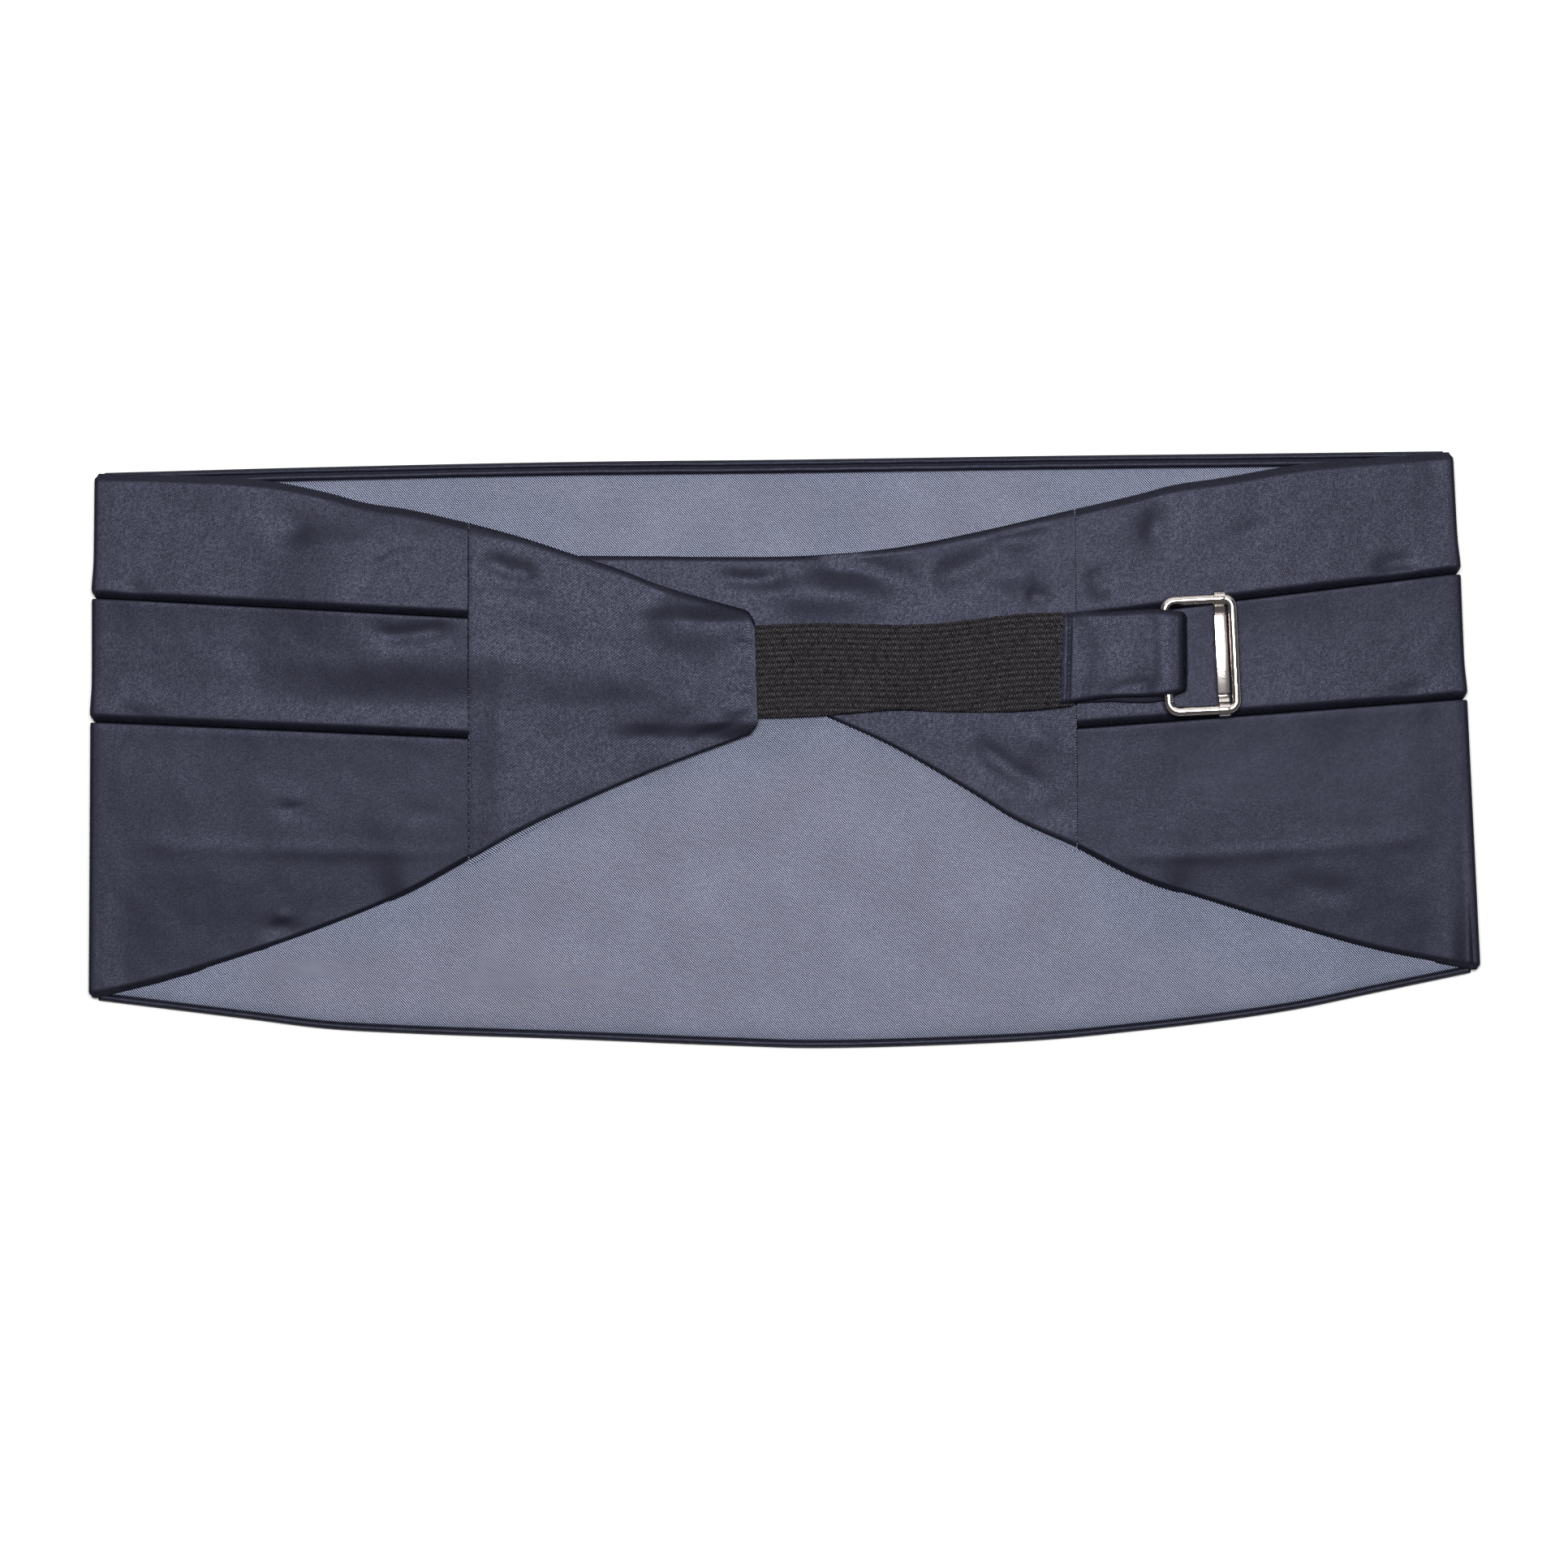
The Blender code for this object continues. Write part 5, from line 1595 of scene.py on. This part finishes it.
def weave_group() -> bpy.types.NodeTree:
    """The shared weave: slanting lines of threads, broken into floats that each shine a little differently.

    Returns:
        A node group. Its inputs are the place in millimetres, the turn of the lines in radians, their pitch,
        the length of a float, how sharply the threads stand out, how much they cover and their unevenness. Its
        outputs run from 0 to 1: Threads is 0 between the threads and 1 on them, and Fleck differs from float to
        float.
    """
    drift_scale, float_shift, tie_depth = 0.35, 0.37, 0.22
    group = bpy.data.node_groups.new("diagonal_weave", "ShaderNodeTree")
    group.interface.new_socket("Place", in_out="INPUT", socket_type="NodeSocketVector")
    for name, value in (("Turn", 0.8), ("Pitch", 0.48), ("Float", 0.7), ("Contrast", 1.0), ("Cover", 0.5),
                        ("Unevenness", 0.3)):
        group.interface.new_socket(name, in_out="INPUT", socket_type="NodeSocketFloat").default_value = value
    for name in ("Threads", "Fleck"):
        group.interface.new_socket(name, in_out="OUTPUT", socket_type="NodeSocketFloat")
    given = add_node(group, "NodeGroupInput").outputs
    out = add_node(group, "NodeGroupOutput")

    def sum_of(operation: str, *terms: object, **values: object) -> Socket:
        """One sum in the group."""
        made = add_node(group, "ShaderNodeMath", dict(enumerate(terms)), operation=operation, **values)
        return made.outputs[0]

    turned = add_node(group, "ShaderNodeVectorRotate", {"Vector": given["Place"], "Angle": given["Turn"]},
                      rotation_type="Z_AXIS").outputs[0]
    parts = add_node(group, "ShaderNodeSeparateXYZ", {0: turned}).outputs
    drift = add_node(group, "ShaderNodeTexNoise", {"Vector": given["Place"], "Scale": drift_scale,
                                                   "Detail": 2.0}).outputs[0]
    wobble = sum_of("MULTIPLY", sum_of("SUBTRACT", drift, 0.5), given["Unevenness"])
    line = sum_of("ADD", sum_of("DIVIDE", parts[1], given["Pitch"]), wobble)
    wave = sum_of("MULTIPLY", sum_of("COSINE", sum_of("MULTIPLY", line, math.tau)), 0.5)
    crest = sum_of("MULTIPLY_ADD", wave, given["Contrast"], given["Cover"], use_clamp=True)
    thread = sum_of("ROUND", line)
    along = sum_of("MULTIPLY_ADD", thread, float_shift, sum_of("DIVIDE", parts[0], given["Float"]))
    tie = sum_of("MULTIPLY_ADD", sum_of("COSINE", sum_of("MULTIPLY", along, math.tau)), tie_depth, 1 - tie_depth)
    float_key = add_node(group, "ShaderNodeCombineXYZ", {0: thread, 1: sum_of("ROUND", along)}).outputs[0]
    fleck = add_node(group, "ShaderNodeTexWhiteNoise", {"Vector": float_key}, noise_dimensions="2D").outputs[0]
    group.links.new(sum_of("MULTIPLY", crest, tie), out.inputs["Threads"])
    group.links.new(fleck, out.inputs["Fleck"])
    return group


@dataclass(frozen=True)
class WovenFinish:
    """A woven cloth: colours between and on its threads, and how it shines."""

    name: str
    dark: Colour
    light: Colour
    turn: float  # degrees from the cloth's length to the threads' lines
    pitch: float  # in millimetres
    float_length: float
    contrast: float
    cover: float  # 0.5 where threads and gaps are as wide, less for thinner threads
    roughness: Row  # between the threads and on them
    fleck: float  # how strongly single floats differ
    patches: float  # how strongly wide areas differ
    relief: float  # thread height in millimetres
    bump: float
    specular: float
    tint: Colour  # of the gloss
    unevenness: float = 0.5  # how far the threads stray from their lines, in pitches
    yarn_cells: Colour = (5.2, 4.3, 0.0)  # a millimetre
    yarn_share: float = 0.7  # of the grain; the rest comes from the floats
    grain_relief: float = 0.6  # as a share of the thread height
    patch_scale: float = 0.06

    def material(self, weave: bpy.types.NodeTree) -> Material:
        """The cloth's material.

        Args:
            weave: the shared weave.

        Returns:
            The material.
        """
        shading = Shading(self.name)
        place = shading.place_on_cloth()
        woven = shading.node("ShaderNodeGroup", None, node_tree=weave)
        for key, value in (("Place", place), ("Turn", -math.radians(self.turn)), ("Pitch", self.pitch),
                           ("Float", self.float_length), ("Contrast", self.contrast), ("Cover", self.cover),
                           ("Unevenness", self.unevenness)):
            put(shading.tree, woven.inputs[key], value)
        threads, fleck = woven.outputs
        grain = shading.math("MULTIPLY_ADD", shading.cells(place, self.yarn_cells), self.yarn_share,
                             shading.math("MULTIPLY", fleck, 1 - self.yarn_share))
        clouds = shading.noise(place, self.patch_scale, 3.0)
        tone = shading.math("MULTIPLY_ADD", shading.math("SUBTRACT", clouds, 0.5), self.patches,
                            shading.math("MULTIPLY", shading.math("SUBTRACT", grain, 0.5), self.fleck))
        share = shading.math("ADD", threads, tone, use_clamp=True)
        low, high = self.roughness
        rough = shading.math("MULTIPLY_ADD", share, high - low, low, use_clamp=True)
        shading.feed(Base_Color=shading.blend(share, self.dark, self.light), Roughness=rough,
                     Specular_IOR_Level=self.specular, Specular_Tint=(*self.tint, 1))
        shading.bump(shading.math("MULTIPLY_ADD", grain, self.grain_relief, threads), self.relief, self.bump)
        return shading.material


@dataclass(frozen=True)
class KnitFinish:
    """The elastic's knit: dark holes between rows of loops."""

    name: str = "elastic_knit"
    dark: Colour = (0.002, 0.002, 0.0025)
    light: Colour = (0.145, 0.13, 0.147)
    yarn_cells: Colour = (5.3, 4.0, 0.0)  # a millimetre
    row_contrast: float = 0.3
    hole_power: float = 1.3  # over 1 for wider holes
    fibre_scale: float = 6.0
    fibre_relief: float = 0.4  # as a share of the loops' height
    relief: float = 0.12  # loop height in millimetres
    bump: float = 0.6
    roughness: float = 0.8
    specular: float = 0.05

    def material(self, elastic: Elastic) -> Material:
        """The knit's material.

        Args:
            elastic: whose loops it colours.

        Returns:
            The material.
        """
        shading = Shading(self.name)
        place = shading.place_on_cloth()
        parts = shading.node("ShaderNodeSeparateXYZ", {0: place}).outputs
        waves = [shading.math("COSINE", shading.math("MULTIPLY", part, math.tau / period))
                 for part, period in zip(parts, (elastic.loop_length, elastic.loop_width))]
        lattice = shading.math("MULTIPLY_ADD", shading.math("MULTIPLY", *waves), 0.5, 0.5)
        rows = shading.math("MULTIPLY_ADD", waves[1], self.row_contrast, 1 - self.row_contrast)
        yarn = shading.cells(place, self.yarn_cells)
        share = shading.math("MULTIPLY", shading.math("POWER", lattice, self.hole_power),
                             shading.math("MULTIPLY", rows, yarn))
        shading.feed(Base_Color=shading.blend(share, self.dark, self.light), Roughness=self.roughness,
                     Specular_IOR_Level=self.specular)
        fibres = shading.noise(place, self.fibre_scale, 2.0)
        height = shading.math("MULTIPLY_ADD", fibres, self.fibre_relief, lattice)
        shading.bump(height, self.relief, self.bump)
        return shading.material


@dataclass(frozen=True)
class ThreadFinish:
    """Sewing thread."""

    name: str
    colour: Colour
    glint: Colour
    ply_scale: float = 1.1
    ply_distortion: float = 1.2
    relief: float = 0.05
    bump: float = 0.4
    roughness: float = 0.55
    specular: float = 0.12

    def material(self) -> Material:
        """The thread's material, twisted along its length.

        Returns:
            The material.
        """
        shading = Shading(self.name)
        given = {"Vector": shading.place_on_object(), "Scale": self.ply_scale, "Distortion": self.ply_distortion}
        ply = shading.node("ShaderNodeTexWave", given, wave_type="BANDS", bands_direction="DIAGONAL").outputs[1]
        shading.feed(Base_Color=shading.blend(ply, self.colour, self.glint), Roughness=self.roughness,
                     Specular_IOR_Level=self.specular)
        shading.bump(ply, self.relief, self.bump)
        return shading.material


@dataclass(frozen=True)
class MetalFinish:
    """Satin nickel plate, finely brushed, duller in its fine wear."""

    name: str = "satin_nickel"
    colour: Colour = (0.78, 0.72, 0.69)
    worn: Colour = (0.66, 0.60, 0.57)
    roughness: Row = (0.1, 0.18)
    brushing: Colour = (0.25, 3.0, 3.0)  # its scale along each axis, less for longer marks
    brush_scale: float = 2.4
    wear_scale: float = 0.35
    relief: float = 0.02
    bump: float = 0.25

    def material(self) -> Material:
        """The metal's material.

        Returns:
            The material.
        """
        shading = Shading(self.name)
        place = shading.place_on_object()
        brushed = shading.noise(shading.scaled(place, self.brushing), self.brush_scale, 4.0)
        wear = shading.noise(place, self.wear_scale, 3.0)
        low, high = self.roughness
        shading.feed(Base_Color=shading.blend(wear, self.colour, self.worn), Metallic=1.0,
                     Roughness=shading.math("MULTIPLY_ADD", brushed, high - low, low))
        shading.bump(brushed, self.relief, self.bump)
        return shading.material


# ---------------------------------------------------------------- studio

@dataclass(frozen=True)
class SoftLight:
    """A soft light aimed at the garment."""

    name: str
    place: tuple[float, float, float]  # metres
    size: tuple[float, float]
    power: float
    colour: Colour = (1.0, 1.0, 1.0)

    def build(self) -> None:
        """Adds it to the scene."""
        data = bpy.data.lights.new(self.name, "AREA")
        data.shape = "RECTANGLE"
        data.size, data.size_y = self.size
        data.energy = self.power
        data.color = self.colour
        lamp = bpy.data.objects.new(self.name, data)
        lamp.location = self.place
        lamp.rotation_euler = (-Vector(self.place)).to_track_quat("-Z", "Y").to_euler()
        bpy.context.scene.collection.objects.link(lamp)


@dataclass
class Studio:
    """The pale floor, the soft lights and the camera that looks straight down."""

    floor_size: float = 6.0  # metres
    floor_colour: Colour = (0.93, 0.93, 0.93)
    speckle_share: float = 0.985
    speckle_scale: float = 0.02
    view_centre: Row = (-0.2, -9.0)
    view_width: float = 405.7
    view_level: float = 4.0
    lens: float = 100.0
    sensor: float = 36.0
    world: float = 0.1
    lights: tuple[SoftLight, ...] = (
        SoftLight("overhead", (0.0, 0.2, 1.55), (0.8, 0.36), 27.0),
        SoftLight("wall", (0.0, 1.5, 1.1), (3.0, 1.4), 13.0),
    )

    def build(self) -> None:
        """Builds the floor, the lights, the surroundings and the camera."""
        bpy.ops.object.select_all(action="DESELECT")
        bpy.ops.mesh.primitive_plane_add(size=self.floor_size)
        floor = bpy.context.object
        floor.name = "floor"
        shading = Shading("pale_floor")
        speckle = shading.noise(shading.place_on_object(), self.speckle_scale, 2.0)
        darker = tuple(self.speckle_share * part for part in self.floor_colour)
        shading.feed(Base_Color=shading.blend(speckle, darker, self.floor_colour), Roughness=0.9,
                     Specular_IOR_Level=0.2)
        floor.data.materials.append(shading.material)
        for light in self.lights:
            light.build()
        world = bpy.data.worlds.new("studio")
        bpy.context.scene.world = world
        world.use_nodes = True
        background = world.node_tree.nodes["Background"]
        background.inputs["Color"].default_value = (1, 1, 1, 1)
        background.inputs["Strength"].default_value = self.world
        bpy.context.scene.view_settings.view_transform = "Standard"
        data = bpy.data.cameras.new("camera")
        data.lens, data.sensor_width = self.lens, self.sensor
        camera = bpy.data.objects.new("camera", data)
        distance = self.view_width * self.lens / self.sensor
        camera.location = (self.view_centre[0] * MM, self.view_centre[1] * MM, (self.view_level + distance) * MM)
        bpy.context.scene.collection.objects.link(camera)
        bpy.context.scene.camera = camera


# ---------------------------------------------------------------- the garment

@dataclass(frozen=True)
class Finishes:
    """The garment's materials."""

    satin: Material
    twill: Material
    knit: Material
    thread: Material
    fray: Material
    nickel: Material


def make_finishes(elastic: Elastic) -> Finishes:
    """The garment's materials.

    Args:
        elastic: whose loops the knit's material colours.

    Returns:
        The materials by use.
    """
    weave = weave_group()
    satin = WovenFinish("satin", dark=(0.001, 0.001, 0.002), light=(0.012, 0.0125, 0.023), turn=46, pitch=0.49,
                        float_length=0.72, contrast=0.85, cover=0.5, roughness=(0.58, 0.35), fleck=1.25,
                        patches=0.25, relief=0.05, bump=0.3, specular=0.31, tint=(0.68, 0.7, 1.0))
    twill = WovenFinish("twill_lining", dark=(0.004, 0.0065, 0.016), light=(0.48, 0.525, 0.72), turn=-48,
                        pitch=0.475, float_length=0.66, contrast=7.0, cover=-1.1, roughness=(1.0, 0.42),
                        fleck=0.2, patches=0.15, relief=0.06, bump=0.15, specular=0.5, tint=(0.85, 0.88, 1.0))
    return Finishes(satin.material(weave), twill.material(weave), KnitFinish().material(elastic),
                    ThreadFinish("dark_thread", (0.004, 0.004, 0.007), (0.03, 0.03, 0.045)).material(),
                    ThreadFinish("pale_fibre", (0.06, 0.065, 0.09), (0.2, 0.21, 0.27)).material(),
                    MetalFinish().material())


TAB_STITCH_RISE = 0.16  # of the stitches' middles over the tab's face
SEAM_STITCH_RISE = 0.95  # the same over the wings' inner face
STRAP_FRAY_RISE = 0.2
TAB_FRAY_RISES = (2.3, 2.75)  # of its two rows, over the tab's inner face


def sew(tab: FoldedTab, finishes: Finishes) -> list[Piece]:
    """Adds the stitches of the tab and of the two seams, and the loose fibres at two cut edges.

    Args:
        tab: the tab that is sewn on the elastic.
        finishes: the garment's materials.

    Returns:
        The pieces.
    """
    def on_tab(x: Array, y: Array) -> Array:
        """Just over the tab's outer face."""
        return tab.outer_z(x) + relief(TAB_RELIEF, x, y) + TAB_STITCH_RISE

    def on_left(x: Array, y: Array) -> Array:
        """Just over the left wing's end."""
        return LAYERS.wing_z + LAYERS.strap_lift(x, y) + SEAM_STITCH_RISE

    over_wing, on_strap = level(LAYERS.wing_z + SEAM_STITCH_RISE), level(LAYERS.wing_z + STRAP_FRAY_RISE)
    low_fray, high_fray = (level(tab.inner_z + rise) for rise in TAB_FRAY_RISES)
    turned = math.pi / 2
    loop, seam, fibre = Stitching(1.0, 0.34), Stitching(1.1, 0.2), Stitching(1.0, 0.06)
    made = []
    for name, size, finish, slot, rows in (
            ("tab_stitches", loop, finishes.thread, "satin",
             [StitchRow((73.4, 35.0), (72.95, 11.9), on_tab, 1.3, 0.07, 4)]),
            ("left_seam_stitches", seam, finishes.thread, "satin",
             [StitchRow((-81.75, 57.4), (-81.75, -28.0), on_left, 2.1, 0.03, 7)]),
            ("right_seam_stitches", seam, finishes.thread, "satin",
             [StitchRow((75.35, 61.0), (75.75, -24.6), over_wing, 2.1, 0.03, 7)]),
            ("tab_fray", fibre, finishes.fray, "satin",
             [StitchRow((71.5, 35.1), (70.75, 12.2), low_fray, 0.5, 0.45, 11, turned),
              StitchRow((71.9, 35.0), (71.2, 12.4), high_fray, 0.8, 0.6, 12, turned)]),
            ("strap_fray", fibre, finishes.fray, "twill_lining",
             [StitchRow((-58.5, 50.35), (-49.5, 50.25), on_strap, 0.3, 0.3, 13, turned)])):
        made.append(size.build(name, rows, finish, slot))
    return made


@dataclass(frozen=True)
class Cut:
    """What one cloth was cut to, and how it lies."""

    piece: str
    flat: Row  # metres
    held: Hold
    rests_on: tuple[str, ...]
    area: float | None = None  # square metres, where the cut isn't a rectangle
    with_pieces: tuple[str, ...] = ()

    def declare(self) -> None:
        """Does nothing."""


CUTS = (
    Cut("satin_front", (0.561, 0.171), Hold.FOLDED, ("floor",), 0.0845,
        ("upper_binding", "lower_binding", "left_seam_stitches", "right_seam_stitches")),
    Cut("twill_lining", (0.35, 0.145), Hold.LAID, ("satin_front",), 0.0485),
    Cut("right_back", (0.186, 0.088), Hold.LAID, ("twill_lining",), 0.0073, ("right_rim", "strap_fray")),
    Cut("left_back", (0.075, 0.088), Hold.LAID, ("right_back",), 0.0043, ("left_rim",)),
    Cut("knit_elastic", (0.0865, 0.024), Hold.LAID, ("right_back",)),
    Cut("satin_tab", (0.063, 0.0235), Hold.FOLDED, ("satin_front",), None, ("tab_stitches", "tab_fray")),
)


def main() -> None:
    """Builds the studio and every piece of the garment."""
    logging.basicConfig(level=logging.INFO, format="%(name)s: %(message)s")
    Studio().build()
    front, elastic, tab, backs, buckle = PleatedFront(), Elastic(), FoldedTab(), BackPieces(), Buckle()
    finishes = make_finishes(elastic)
    satin, twill, nickel = finishes.satin, finishes.twill, finishes.nickel
    pieces = [front.build(satin), Lining().build(front, twill)]
    pieces += Bindings().build(front, satin)
    pieces += [backs.build_right(satin), backs.build_left(satin), elastic.build(finishes.knit), tab.build(satin)]
    pieces += [buckle.build_frame(nickel), buckle.build_slider(nickel)]
    pieces += backs.build_rims(twill) + sew(tab, finishes)
    for cut in CUTS:
        cut.declare()
    for piece in pieces:
        piece.data.calc_loop_triangles()
        log.info("%s: %d triangles", piece.name, len(piece.data.loop_triangles))


if __name__ == "__main__":
    main()
